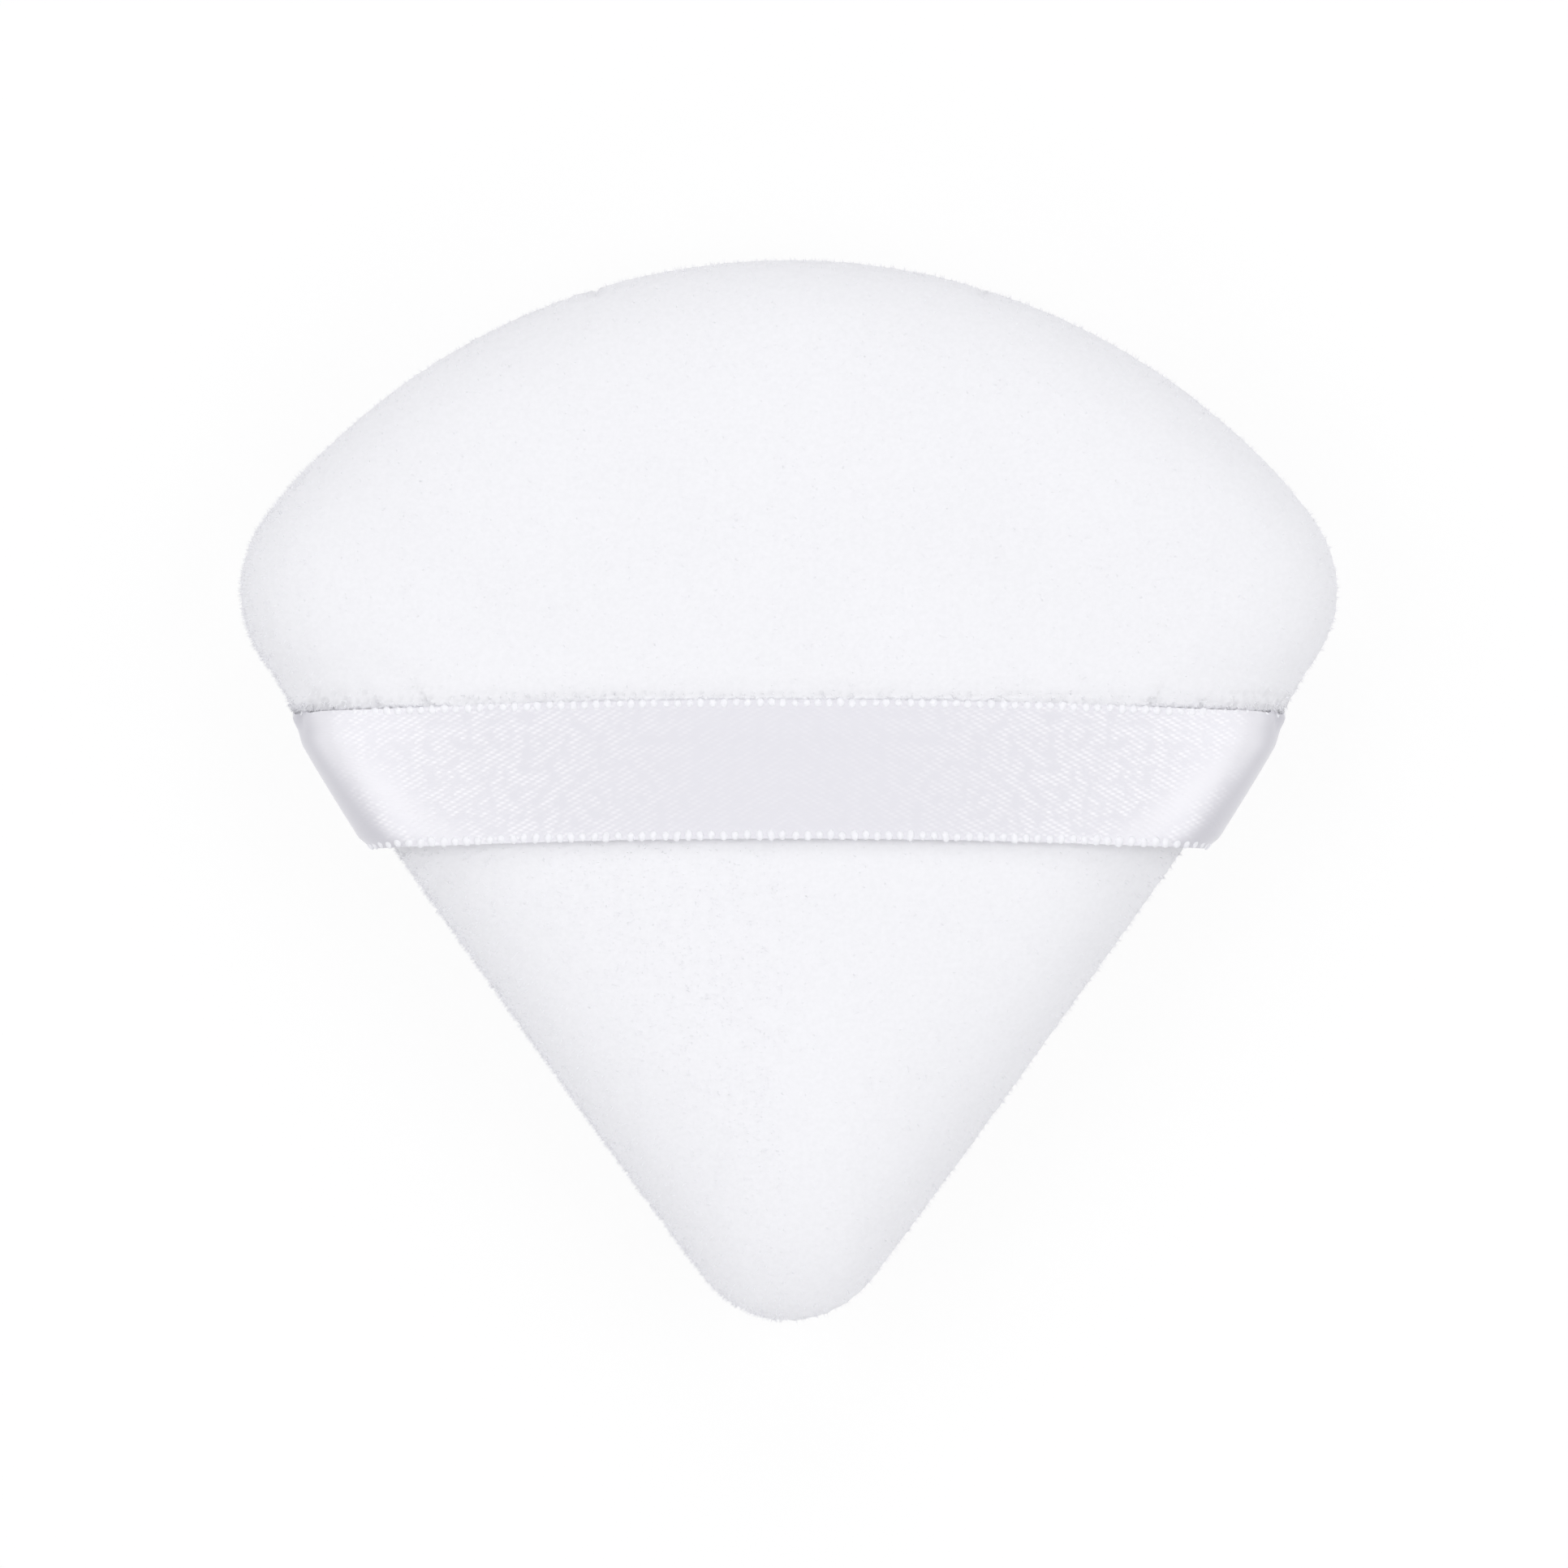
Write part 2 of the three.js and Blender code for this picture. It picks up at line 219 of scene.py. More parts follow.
# %% [markdown]
# ## Velour
# The covers are polyester velour: a knit whose loops are cut to an even pile a
# millimetre deep. The pile scatters light in all directions, so it has no highlight at
# all, turns a touch lighter where it is seen along its tips, and the way it was last
# stroked leaves patches that differ by a hair in tone. Tufts are 0.05 mm apart on the
# real cloth; they are drawn 0.3 mm apart here, as nothing finer would show.

# %% Mix the velour
stroke_size, tuft_spacing, tuft_depth = 9, 0.3, 0.06


def make_velour():
    material, cloth = new_finish("cut_pile_velour")
    place = add_node(material, "ShaderNodeTexCoord").outputs["Object"]
    stroked = add_node(material, "ShaderNodeTexNoise", inputs={
        "Vector": place, "Scale": per(stroke_size), "Detail": 2.0, "Roughness": 0.45})
    tufts = add_node(material, "ShaderNodeTexNoise", inputs={
        "Vector": place, "Scale": per(tuft_spacing), "Detail": 2.0, "Roughness": 0.6})
    patches = add_node(material, "ShaderNodeMix", {"data_type": "RGBA"}, {
        "Factor": stroked.outputs["Fac"], "A": colour("#f2f2f5"), "B": colour("#f5f5f8")})
    fleck = add_node(material, "ShaderNodeMapRange", inputs={
        "Value": tufts.outputs["Fac"], "From Min": 0.35, "From Max": 0.65,
        "To Min": 0.975, "To Max": 1.0})
    flecked = add_node(material, "ShaderNodeMix", {
        "data_type": "RGBA", "blend_type": "MULTIPLY"}, {
        "Factor": 1.0, "A": patches.outputs["Result"], "B": fleck.outputs["Result"]})
    nap = add_node(material, "ShaderNodeBump", inputs={
        "Strength": 0.18, "Distance": tuft_depth * MM, "Height": tufts.outputs["Fac"]})
    plug(material, cloth, {
        "Base Color": flecked.outputs["Result"], "Normal": nap.outputs["Normal"],
        "Roughness": 1.0, "Specular IOR Level": 0.1,
        "Sheen Weight": 0.12, "Sheen Roughness": 0.6})
    return material


velour = make_velour()
print("velour nodes:", len(velour.node_tree.nodes))

# %% [markdown]
# ## The puff's outline
# Seen from above, the puff is five kinds of arc that run into one another: a broad arc,
# two tight corners, two nearly straight sides and a round tip. A pattern cutter would
# draw it with a compass, and Blender's compass is Spin: a single point is swung round
# one centre after another, and the half outline is mirrored. An arc drawn in by some
# millimetres keeps its centre and only loses radius, so the same compass work gives
# the outline of the sponge and of every lining as well.

# %% Work out the compass points
puff_width, puff_length = 70.0, 67.7
broad_radius, corner_radius, side_radius, tip_radius = 42.2, 7.85, 1466.0, 6.85
hub = (0.0, 6.0)  # the thickest point, from which the covers swell


def turn_of(start, end):
    """The angle at which one point sees another."""
    return math.atan2(end.y - start.y, end.x - start.x)


def compass_points():
    """The right half's arcs as centre, radius, first and last angle, from the tip up."""
    half = puff_length / 2
    broad = Vector((0, half - broad_radius))
    corner_x = puff_width / 2 - corner_radius
    corner_rise = math.sqrt((broad_radius - corner_radius) ** 2 - corner_x**2)
    corner = Vector((corner_x, broad.y + corner_rise))
    tip = Vector((0, tip_radius - half))
    way = corner - tip
    a, b = side_radius - tip_radius, side_radius - corner_radius
    along = (way.length**2 + a * a - b * b) / (2 * way.length)
    aside = math.sqrt(a * a - along * along)
    way.normalize()
    side = tip + way * along + Vector((-way.y, way.x)) * aside
    tip_end, side_end = turn_of(side, tip), turn_of(side, corner)
    corner_end = turn_of(broad, corner)
    return [
        (tip, tip_radius, -math.pi / 2, tip_end),
        (side, side_radius, tip_end, side_end),
        (corner, corner_radius, side_end, corner_end),
        (broad, broad_radius, corner_end, math.pi / 2),
    ]


arcs = compass_points()
broad_centre = arcs[-1][0]
for centre, radius, first, last in arcs:
    print("arc: centre", [round(c, 2) for c in centre], "radius", radius,
          "length", round(radius * (last - first), 1), "mm")

# %% Draw the outline with Spin
same_point = 1e-6  # in metres; points nearer to each other than this are one


def edit_all():
    """Edit mode with everything selected."""
    bpy.ops.object.mode_set(mode="EDIT")
    bpy.ops.mesh.select_all(action="SELECT")


def points_of(piece):
    """A mesh's points as rows of three numbers, in metres."""
    points = np.zeros(len(piece.data.vertices) * 3)
    piece.data.vertices.foreach_get("co", points)
    return points.reshape(-1, 3)


def width_and_length(piece):
    """How wide and how long a piece is, in millimetres."""
    points = points_of(piece) / MM
    return [round(float(side), 2) for side in (points.max(0) - points.min(0))[:2]]


def draw_outline(name, inset=0.0, spacing=1.0):
    """The closed outline as a ring of edges in the seam's plane, drawn in by inset."""
    bare_hands()
    bpy.ops.mesh.primitive_plane_add(size=MM, location=mm(0, inset - puff_length / 2, 0))
    pencil = bpy.context.object
    pencil.name = pencil.data.name = name
    bpy.ops.object.transform_apply(location=True, rotation=True, scale=True)
    edit_all()
    bpy.ops.mesh.merge(type="CENTER")
    for centre, radius, first, last in arcs:
        steps = max(3, round((radius - inset) * (last - first) / spacing))
        bpy.ops.mesh.spin(
            steps=steps, angle=last - first, center=mm(*centre, 0), axis=(0, 0, -1)
        )
    bpy.ops.mesh.select_all(action="SELECT")
    bpy.ops.mesh.symmetrize(direction="POSITIVE_X", threshold=same_point)
    bpy.ops.mesh.select_all(action="SELECT")
    bpy.ops.mesh.remove_doubles(threshold=same_point)
    bpy.ops.object.mode_set(mode="OBJECT")
    return pencil


trial = draw_outline("trial_outline")
print("outline:", len(trial.data.vertices), "points,", width_and_length(trial), "mm")
bpy.data.objects.remove(trial)

# %% [markdown]
# ## Measuring from the outline
# Sewing is measured from the cloth's edge inwards: the seam runs 2.2 mm in, its
# allowance is 4.2 mm wide. So one function tells, for any point seen from above, how
# far inside the outline it lies and which way is out. It looks up the arc that the
# point faces from that arc's own centre. A second one tells how far along the outline
# the point lies, which is what stitches are counted by.

# %% Make the maker's rules
def from_edge(x, y):
    """How far inside the outline a point lies, in mm, and the way out from there."""
    best, out = math.inf, Vector((1, 0))
    for centre, radius, first, last in arcs:
        away = Vector((abs(x), y)) - centre
        angle = min(max(math.atan2(away.y, away.x), first), last)
        way = Vector((math.cos(angle), math.sin(angle)))
        off_line = abs(away.x * way.y - away.y * way.x)
        inside = radius - away.dot(way) + off_line * 0.5
        if inside < best:
            best, out = inside, way
    return best, Vector((math.copysign(out.x, x), out.y))


def along_edge(x, y):
    """How far along the outline a point lies, in mm from the middle of the tip."""
    out = from_edge(x, y)[1]
    angle = math.atan2(out.y, abs(out.x))
    run = 0.0
    for _, radius, first, last in arcs:
        if angle <= last + 1e-6:
            return run + radius * (max(angle, first) - first)
        run += radius * (last - first)
    return run


for point in ((0, 33.85), (34, 12.69), (0, -33), (20, 0)):
    inside, out = from_edge(*point)
    print("point", point, "lies", round(inside, 2), "mm inside and",
          round(along_edge(*point), 1), "mm along, out is", [round(c, 2) for c in out])

# %% [markdown]
# ## The puff's form
# A cover stretched over a sponge is nearly flat in the middle and rolls off near its
# edge. The same outline is drawn again and again, smaller and higher each time, about
# the hub: that is an extrude followed by a scale, the move every modeller knows. The
# height follows the square root of 1 - share^6, which has a flat crown and a full
# shoulder. The back has the same form, pressed flat by half a millimetre where it lies.

# %% Climb ring by ring
shoulder = 1.05  # where a cover is widest, above the seam's plane
crown_rise = 6.2
flatness = 6  # the power in the height: more makes a flatter crown


def lift_of(share):
    """How high the crown stands at a share of the way out, from 1 at the hub to 0."""
    return math.sqrt(max(0.0, 1 - share**flatness))


def extrude_ring(scale, rise):
    """Extrudes the selected ring, scales it about the hub and raises it."""
    bpy.ops.mesh.extrude_region_move()
    bpy.ops.transform.resize(value=(scale, scale, 1), center_override=mm(*hub, 0))
    bpy.ops.transform.translate(value=mm(0, 0, rise))


def climb(shares, share, height, base, rise, side=1):
    """From a share and a height, rings at the shares given, and one point on the hub."""
    for next_share in shares:
        next_height = base + rise * lift_of(next_share)
        extrude_ring(next_share / share, side * (next_height - height))
        share, height = next_share, next_height
    extrude_ring(1, side * (base + rise - height))
    bpy.ops.mesh.merge(type="CENTER")


print("the crown stands at", [round(crown_rise * lift_of(s), 2) for s in (0, 0.5, 0.8, 0.95)],
      "mm over the shoulder, from the hub outwards")

# %% Raise the dome
ring_shift = 1.25  # moves the rings a little towards the hub


def pick_up(piece):
    """Object mode with this piece alone selected and active, ready for an operator."""
    bare_hands()
    bpy.context.view_layer.objects.active = piece
    piece.select_set(True)


def apply_modifier(piece, kind, **settings):
    """Adds a modifier, sets it and applies it, so that its work is in the mesh."""
    pick_up(piece)
    tool = piece.modifiers.new(kind.lower(), kind)
    for name, value in settings.items():
        setattr(tool, name, value)
    bpy.ops.object.modifier_apply(modifier=tool.name)


def close_up():
    """Makes doubled points one and turns every face of the active piece outwards."""
    edit_all()
    bpy.ops.mesh.remove_doubles(threshold=same_point)
    bpy.ops.mesh.normals_make_consistent(inside=False)
    bpy.ops.object.mode_set(mode="OBJECT")


def raise_dome(name, inset=0.0, rise=crown_rise, rings=22, spacing=1.0):
    """A closed cushion round the seam's plane, which swells on both sides of it."""
    dome = draw_outline(name, inset, spacing)
    edit_all()
    extrude_ring(1, shoulder)
    shares = [math.sin(math.pi / 2 * (1 - i / rings) ** ring_shift) for i in range(1, rings)]
    climb(shares, 1.0, shoulder, shoulder, rise)
    bpy.ops.object.mode_set(mode="OBJECT")
    apply_modifier(dome, "MIRROR", use_axis=(False, False, True), use_clip=True)
    close_up()
    return dome


def press_flat(piece, depth):
    """Cuts the underside off level at that depth below the seam's plane."""
    pick_up(piece)
    edit_all()
    bpy.ops.mesh.bisect(
        plane_co=mm(0, 0, -depth), plane_no=(0, 0, 1), use_fill=True, clear_inner=True,
        threshold=1e-7,
    )
    bpy.ops.object.mode_set(mode="OBJECT")


def low_and_high(piece):
    """The heights of a piece's lowest and highest point, in millimetres."""
    heights = points_of(piece)[:, 2] / MM
    return round(float(heights.min()), 2), round(float(heights.max()), 2)


form = raise_dome("puff_form", rings=30, spacing=0.5)
press_flat(form, seam_height)
print("form:", len(form.data.polygons), "faces, from and to", low_and_high(form), "mm")

# %% [markdown]
# ## Velour swells over the sponge
# A drawn form is too perfect for sewn cloth. So a slightly smaller cushion is cut, its
# surface is remeshed into even squares, and a cloth simulation blows it up for twenty
# frames: the velour is held at the stitches of the seam and swells between them, which
# gives the small puckers along the edge. The solver is made for things the size of a
# person, so the cushion is simulated at eight times its size and then shrunk again. No
# point may travel further than 0.55 mm, and a shrinkwrap brings the result most of the
# way back to the drawn form, because the photograph shows a taut puff.

# %% Remesh a cushion and hold it at the stitches
enlarged = 8
voxel = 0.625
cushion_inset, cushion_sink = 0.45, 0.1  # how much smaller it starts, at its sides and below
seam_stitch = 2.5
seam_reach, stitch_share = 0.6, 0.2  # how far a stitch holds, up and down and along


def resize_mesh(piece, factor):
    pick_up(piece)
    piece.scale = (factor, factor, factor)
    bpy.ops.object.transform_apply(location=False, rotation=False, scale=True)


def hold_at_stitches(piece, scale):
    """A vertex group that pins the cloth where the seam's stitches go through it."""
    group = piece.vertex_groups.new(name="stitches")
    held = []
    for v in piece.data.vertices:
        x, y, z = (c / MM / scale for c in v.co)
        if abs(z) < seam_reach:
            phase = along_edge(x, y) / seam_stitch % 1
            if abs(phase - 0.5) < stitch_share:
                held.append(v.index)
    group.add(held, 1.0, "REPLACE")
    return len(held)


cushion = raise_dome("cushion", inset=cushion_inset, rise=crown_rise - cushion_inset)
press_flat(cushion, seam_height - cushion_sink)
resize_mesh(cushion, enlarged)
apply_modifier(cushion, "REMESH", mode="VOXEL", voxel_size=voxel * MM * enlarged)
held_points = hold_at_stitches(cushion, enlarged)
print("remeshed cushion:", len(cushion.data.polygons), "faces,", held_points, "points held")

# %% Blow it up
swell_frames = 20
most_travel = 0.55
tautness = 0.8  # how far the swollen cushion is brought back to the drawn form


def put_points(piece, points):
    piece.data.vertices.foreach_set("co", np.ascontiguousarray(points).ravel())
    piece.data.update()


def blow_up(piece):
    """Cloth with pressure and no gravity, applied, with each point's travel capped."""
    before = points_of(piece)
    cloth = piece.modifiers.new("cloth", "CLOTH")
    cloth.settings.quality = 5
    cloth.settings.mass = 0.3
    cloth.settings.tension_stiffness = cloth.settings.compression_stiffness = 15
    cloth.settings.shear_stiffness = 8
    cloth.settings.bending_stiffness = 1.5
    cloth.settings.use_pressure = True
    cloth.settings.uniform_pressure_force = 4
    cloth.settings.effector_weights.gravity = 0
    cloth.settings.vertex_group_mass = "stitches"
    cloth.collision_settings.use_collision = False
    cloth.point_cache.frame_start, cloth.point_cache.frame_end = 1, swell_frames
    for moment in range(1, swell_frames + 1):
        bpy.context.scene.frame_set(moment)
    pick_up(piece)
    bpy.ops.object.modifier_apply(modifier=cloth.name)
    bpy.context.scene.frame_set(1)
    moved = points_of(piece) - before
    travel = np.linalg.norm(moved, axis=1)
    cap = most_travel * MM * enlarged
    print("swelled by up to", round(float(travel.max()) / MM / enlarged, 2), "mm, middle value",
          round(float(np.median(travel)) / MM / enlarged, 2), "mm, capped at", most_travel)
    moved *= (np.minimum(travel, cap) / np.maximum(travel, 1e-12))[:, None]
    put_points(piece, before + moved)


blow_up(cushion)
apply_modifier(cushion, "SMOOTH", factor=0.5, iterations=4)
resize_mesh(cushion, 1 / enlarged)
apply_modifier(cushion, "SUBSURF", levels=1, render_levels=1)
sewn = points_of(cushion)
apply_modifier(cushion, "SHRINKWRAP", target=form, wrap_method="NEAREST_SURFACEPOINT")
drawn = points_of(cushion)
put_points(cushion, sewn + (drawn - sewn) * tautness)
print("cushion:", len(cushion.data.polygons), "faces,", width_and_length(cushion), "mm")

# %% [markdown]
# ## Two covers and the seam between them
# Real covers are sewn face to face and then turned, so the velour rolls in to the seam
# and its raw edges end inside. The swollen cushion is cut in two at the seam with
# Bisect. Each half's rim is rolled in on a radius of 0.8 mm, which makes the groove
# round the puff, and its open edge is extruded on: in along the allowance, up at the
# raw edge, back out to the wall and up under the crown as the lining. So each cover is
# one closed shell with room for the sponge.

# %% Say how a cover turns in
seam_roll, lip, cloth_thickness, allowance = 0.8, 0.25, 1.2, 4.2
raw_edge = lip + cloth_thickness  # how far above the seam the raw edge ends
lining_rise = shoulder + crown_rise - cloth_thickness - raw_edge
pucker = 0.16  # how far a stitch draws the rolled edge in


def roll_in(side):
    """The move that rolls a rim in to the seam and draws it in at each stitch."""
    def move(x, y, z):
        rest = max(0.0, side * z / shoulder)
        turn = math.pi / 2 * (1 - rest)
        out = from_edge(x, y)[1]
        stitch = 0.5 - 0.5 * math.cos(2 * math.pi * along_edge(x, y) / seam_stitch)
        inset = seam_roll * (1 - math.cos(turn)) + pucker * stitch * (1 - rest)
        height = side * (shoulder - seam_roll * math.sin(turn))
        return x - out.x * inset, y - out.y * inset, height
    return move


def draw_in(distance, height):
    """The move that draws an edge in by a distance and lays it at one height."""
    def move(x, y, z):
        out = from_edge(x, y)[1]
        return x - out.x * distance, y - out.y * distance, height
    return move


def move_selected(piece, move):
    """Moves each selected point of a piece in edit mode; the move is given in mm."""
    mesh = bmesh.from_edit_mesh(piece.data)
    for v in mesh.verts:
        if v.select:
            v.co = Vector(mm(*move(*(c / MM for c in v.co))))
    bmesh.update_edit_mesh(piece.data)


print("a point at the rim is rolled in to",
      [round(c, 2) for c in roll_in(1)(puff_width / 2, 12.69, 0)])

# %% Cut and turn in the covers
level_start = 0.5  # how far in from the roll the allowance lies level
lining_shares = (0.97, 0.92, 0.84, 0.72, 0.55, 0.35, 0.15)


def copy_of(piece, name):
    twin = piece.copy()
    twin.data = piece.data.copy()
    twin.name = twin.data.name = name
    bpy.context.scene.collection.objects.link(twin)
    return twin


def cut_cover(name, side):
    """One half of the cushion, side 1 for the front and -1 for the back, turned in."""
    cover = copy_of(cushion, name)
    pick_up(cover)
    bpy.ops.object.mode_set(mode="EDIT")
    bpy.ops.mesh.select_mode(type="VERT")
    bpy.ops.mesh.select_all(action="SELECT")
    bpy.ops.mesh.bisect(
        plane_co=(0, 0, 0), plane_no=(0, 0, side), clear_inner=True, threshold=1e-7
    )
    mesh = bmesh.from_edit_mesh(cover.data)
    for v in mesh.verts:
        v.select = side * v.co.z < shoulder * MM
    move_selected(cover, roll_in(side))
    outer = len(mesh.verts)
    bpy.ops.mesh.select_all(action="DESELECT")
    bpy.ops.mesh.select_non_manifold(
        extend=False, use_wire=False, use_boundary=True, use_multi_face=False,
        use_non_contiguous=False, use_verts=False,
    )
    for distance, height in (
        (level_start, lip), (allowance - seam_roll - level_start, lip),
        (0, raw_edge), (cloth_thickness - allowance, raw_edge),
    ):
        bpy.ops.mesh.extrude_region_move()
        move_selected(cover, draw_in(distance, side * height))
    climb(lining_shares, 1.0, raw_edge, raw_edge, lining_rise, side)
    bpy.ops.mesh.select_all(action="SELECT")
    bpy.ops.mesh.normals_make_consistent(inside=False)
    bpy.ops.object.mode_set(mode="OBJECT")
    return cover, outer


front, front_outer = cut_cover("velour_front", 1)
back, back_outer = cut_cover("velour_back", -1)
for cover, outer in ((front, front_outer), (back, back_outer)):
    print(cover.name, outer, "points outside,", len(cover.data.vertices) - outer, "inside,",
          width_and_length(cover), "mm")

# %% [markdown]
# ## The nap
# Velour's edge against the light isn't a clean line: the pile stands in small tufts. The
# outer points are pushed along their normals by a fine noise, strongest round the rim.
# Under the ribbon the pile is pressed down, most where the ribbon is taut, and it stands
# up again round the ribbon's taut upper edge, which therefore hardly casts a shadow. It
# is also pressed down underneath, where the puff rests. Where the hand-sewn part of the
# seam meets the machine's, the rim is drawn in a little.

# %% Lay the ribbon's bed in the nap
ribbon_width, ribbon_y, ribbon_bow = 8.8, 1.32, 1.1  # its loops add 0.1 on each side
edge_press, nap_press, nap_rise = 0.2, 0.08, 0.2  # taut edge, all of the ribbon, beside it

# Where each begins and ends, on a scale from -1 at the lower edge to 1 at the upper one
lower_edge, upper_edge, taut_part = (-1.0, -0.86), (0.88, 0.96), (0.5, 0.8)
nap_swells, nap_fades = (0.89, 0.97), (1.08, 1.6)


def ribbon_line(x, across):
    """The ribbon's line over the puff: across is -1 at its lower edge, 1 at its upper."""
    return ribbon_y + across * ribbon_width / 2 - ribbon_bow * (x / (puff_width / 2)) ** 2


def soft_step(value, low, high):
    """From 0 at low to 1 at high, with a soft start and end."""
    t = min(1.0, max(0.0, (value - low) / (high - low)))
    return t * t * (3 - 2 * t)


def ribbon_bed(x, y):
    """How far a point lies under the ribbon, under its taut part, and beside it."""
    half = (y - ribbon_line(x, 0)) / (ribbon_width / 2)
    spans = ((lower_edge, upper_edge), (taut_part, upper_edge), (nap_swells, nap_fades))
    return [soft_step(half, *rise) * (1 - soft_step(half, *fall)) for rise, fall in spans]


for y in (-4, 1.32, 5, 6):
    print("at", y, "mm the bed is", [round(share, 2) for share in ribbon_bed(0, y)])

# %% Ruffle the nap
coarse_tuft, fine_tuft, fine_share = 0.55, 0.28, 0.6
tuft_push, tuft_push_at_rim = 0.035, 0.05
seam_clear = 0.3  # no tufts this near the seam's plane
gap_end, gap_end_width, gap_end_depth = 12.3, 0.45, 0.2  # the ends of the hand-sewn part


def ruffle(cover, outer, side):
    """Tufts all over, the bed that the ribbon lies in, and the ends of the turning gap."""
    normals = [v.normal.copy() for v in cover.data.vertices]
    for v in cover.data.vertices[:outer]:
        x, y, z = (c / MM for c in v.co)
        height = side * z
        if height < seam_clear:
            continue
        under, taut, beside = ribbon_bed(x, y) if side > 0 else (0.0, 0.0, 0.0)
        resting = soft_step(height, seam_height - 0.5, seam_height - 0.1) if side < 0 else 0.0
        tuft = noise.noise(Vector((x, y, z)) / coarse_tuft)
        tuft += fine_share * noise.noise(Vector((z, x, y)) / fine_tuft)
        rim = 1 - soft_step(height, 2.0, 6.0)
        push = tuft * (tuft_push + tuft_push_at_rim * rim) * (1 - under) * (1 - resting)
        push += nap_rise * beside - nap_press * under - edge_press * taut
        if y > 20 and height < 4:
            pull = math.exp(-(((abs(x) - gap_end) / gap_end_width) ** 2))
            push -= gap_end_depth * pull * (1 - soft_step(height, 1, 4))
        v.co += normals[v.index] * push * MM
    cover.data.update()


def smooth_finish(piece, finish):
    """Smooth shading and one finish all over."""
    piece.data.polygons.foreach_set("use_smooth", [True] * len(piece.data.polygons))
    piece.data.materials.clear()
    piece.data.materials.append(finish)


ruffle(front, front_outer, 1)
ruffle(back, back_outer, -1)
for cover in (front, back):
    lifted = points_of(cover) + np.array(mm(0, 0, seam_height))
    lifted[:, 2] = np.maximum(lifted[:, 2], 0.0)
    put_points(cover, lifted)
    smooth_finish(cover, velour)
    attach(cover, "puff")
    print(cover.name, "stands from and to", low_and_high(cover), "mm above the table")
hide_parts("front_cover")
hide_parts("back_cover")
for spare in (form, cushion):
    bpy.data.objects.remove(spare)

# %% [markdown]
# ## The pile
# Seen against the light, velour has a soft fringe: single fibres stand beyond the cloth.
# A fibre is a three-sided cone a third of a millimetre long. One is made as a primitive
# and its points are laid out again for every place on the covers, thickest round the
# rim, where they stand against the background, and along the ribbon's taut upper edge,
# where they lean over the crease. The operators would need minutes for tens of
# thousands of copies, so this one piece is filled in by mesh code. No fibre grows under
# the ribbon or where the puff rests.

# %% Choose where the fibres grow
pile_all_over, pile_at_rim, pile_at_crease = 5.0, 24.0, 40.0  # fibres per square millimetre
rim_top, rim_fade = 3.4, 1.6  # the rim's thick pile ends at this height, after this fade
grows_above, rests_above = 0.45, 6.2  # heights from the seam; the second is for the back
crease, crease_half = 1.07, 0.07  # on the ribbon's scale of -1 to 1, as the next ones
bare_from, bare_to, leans_to = -1.04, 1.01, 1.12
stray, lean = 0.3, 0.7  # how far a fibre strays from the normal, and leans at the crease


def across_ribbon(points):
    """Where points lie across the ribbon, from -1 at its lower edge to 1 at its upper."""
    bow = ribbon_bow * (points[:, 0] / (puff_width / 2)) ** 2
    return (points[:, 1] - ribbon_y + bow) / (ribbon_width / 2)


def choose_places(cover, outer, side, chance):
    """The fibres' roots in mm, and the ways in which they grow."""
    points = points_of(cover) / MM
    normals = np.zeros(len(points) * 3)
    cover.data.vertices.foreach_get("normal", normals)
    cover.data.calc_loop_triangles()
    faces = np.array([t.vertices for t in cover.data.loop_triangles])
    faces = faces[(faces < outer).all(1)]
    a, b, c = points[faces[:, 0]], points[faces[:, 1]], points[faces[:, 2]]
    area = np.linalg.norm(np.cross(b - a, c - a), axis=1) / 2
    middle = (a + b + c) / 3
    height = side * (middle[:, 2] - seam_height)
    rim = np.clip((rim_top - height) / rim_fade, 0, 1)
    wanted = area * (pile_all_over + (pile_at_rim - pile_all_over) * rim)
    if side > 0:
        at_crease = np.abs(across_ribbon(middle) - crease) < crease_half
        wanted[at_crease] = area.mean() * pile_at_crease
    wanted[(height < grows_above) | ((side < 0) & (height > rests_above))] = 0
    count = int(wanted.sum())
    chosen = chance.choice(len(faces), count, p=wanted / wanted.sum())
    u, v = chance.random((2, count, 1))
    u, v = np.where(u + v > 1, 1 - u, u), np.where(u + v > 1, 1 - v, v)
    roots = a[chosen] + u * (b[chosen] - a[chosen]) + v * (c[chosen] - a[chosen])
    if side > 0:
        half = across_ribbon(roots)
        free = (half < bare_from) | (half > bare_to)
        roots, chosen, half = roots[free], chosen[free], half[free]
    ways = normals.reshape(-1, 3)[faces[chosen, 0]] + chance.normal(0, stray, (len(roots), 3))
    if side > 0:
        ways[(half > bare_to) & (half < leans_to), 1] -= lean
    return roots, ways / np.linalg.norm(ways, axis=1)[:, None]


print("fibres to the square millimetre:", pile_all_over, "all over,", pile_at_rim,
      "at the rim,", pile_at_crease, "at the crease")

# %% Plant the fibres
fibre_radius, shortest, longest = 0.026, 0.2, 0.42
root_shift = 0.4  # of its length, from the cone's middle: a tenth is sunk in the cloth


def fibre_pattern():
    """The points and the faces of one fibre, one unit long, its middle at the origin."""
    bare_hands()
    bpy.ops.mesh.primitive_cone_add(
        vertices=3, radius1=fibre_radius, depth=1.0, end_fill_type="NGON"
    )
    fibre = bpy.context.object
    points = np.array([v.co for v in fibre.data.vertices])
    faces = [list(f.vertices) for f in fibre.data.polygons]
    bpy.data.objects.remove(fibre)
    return points, faces


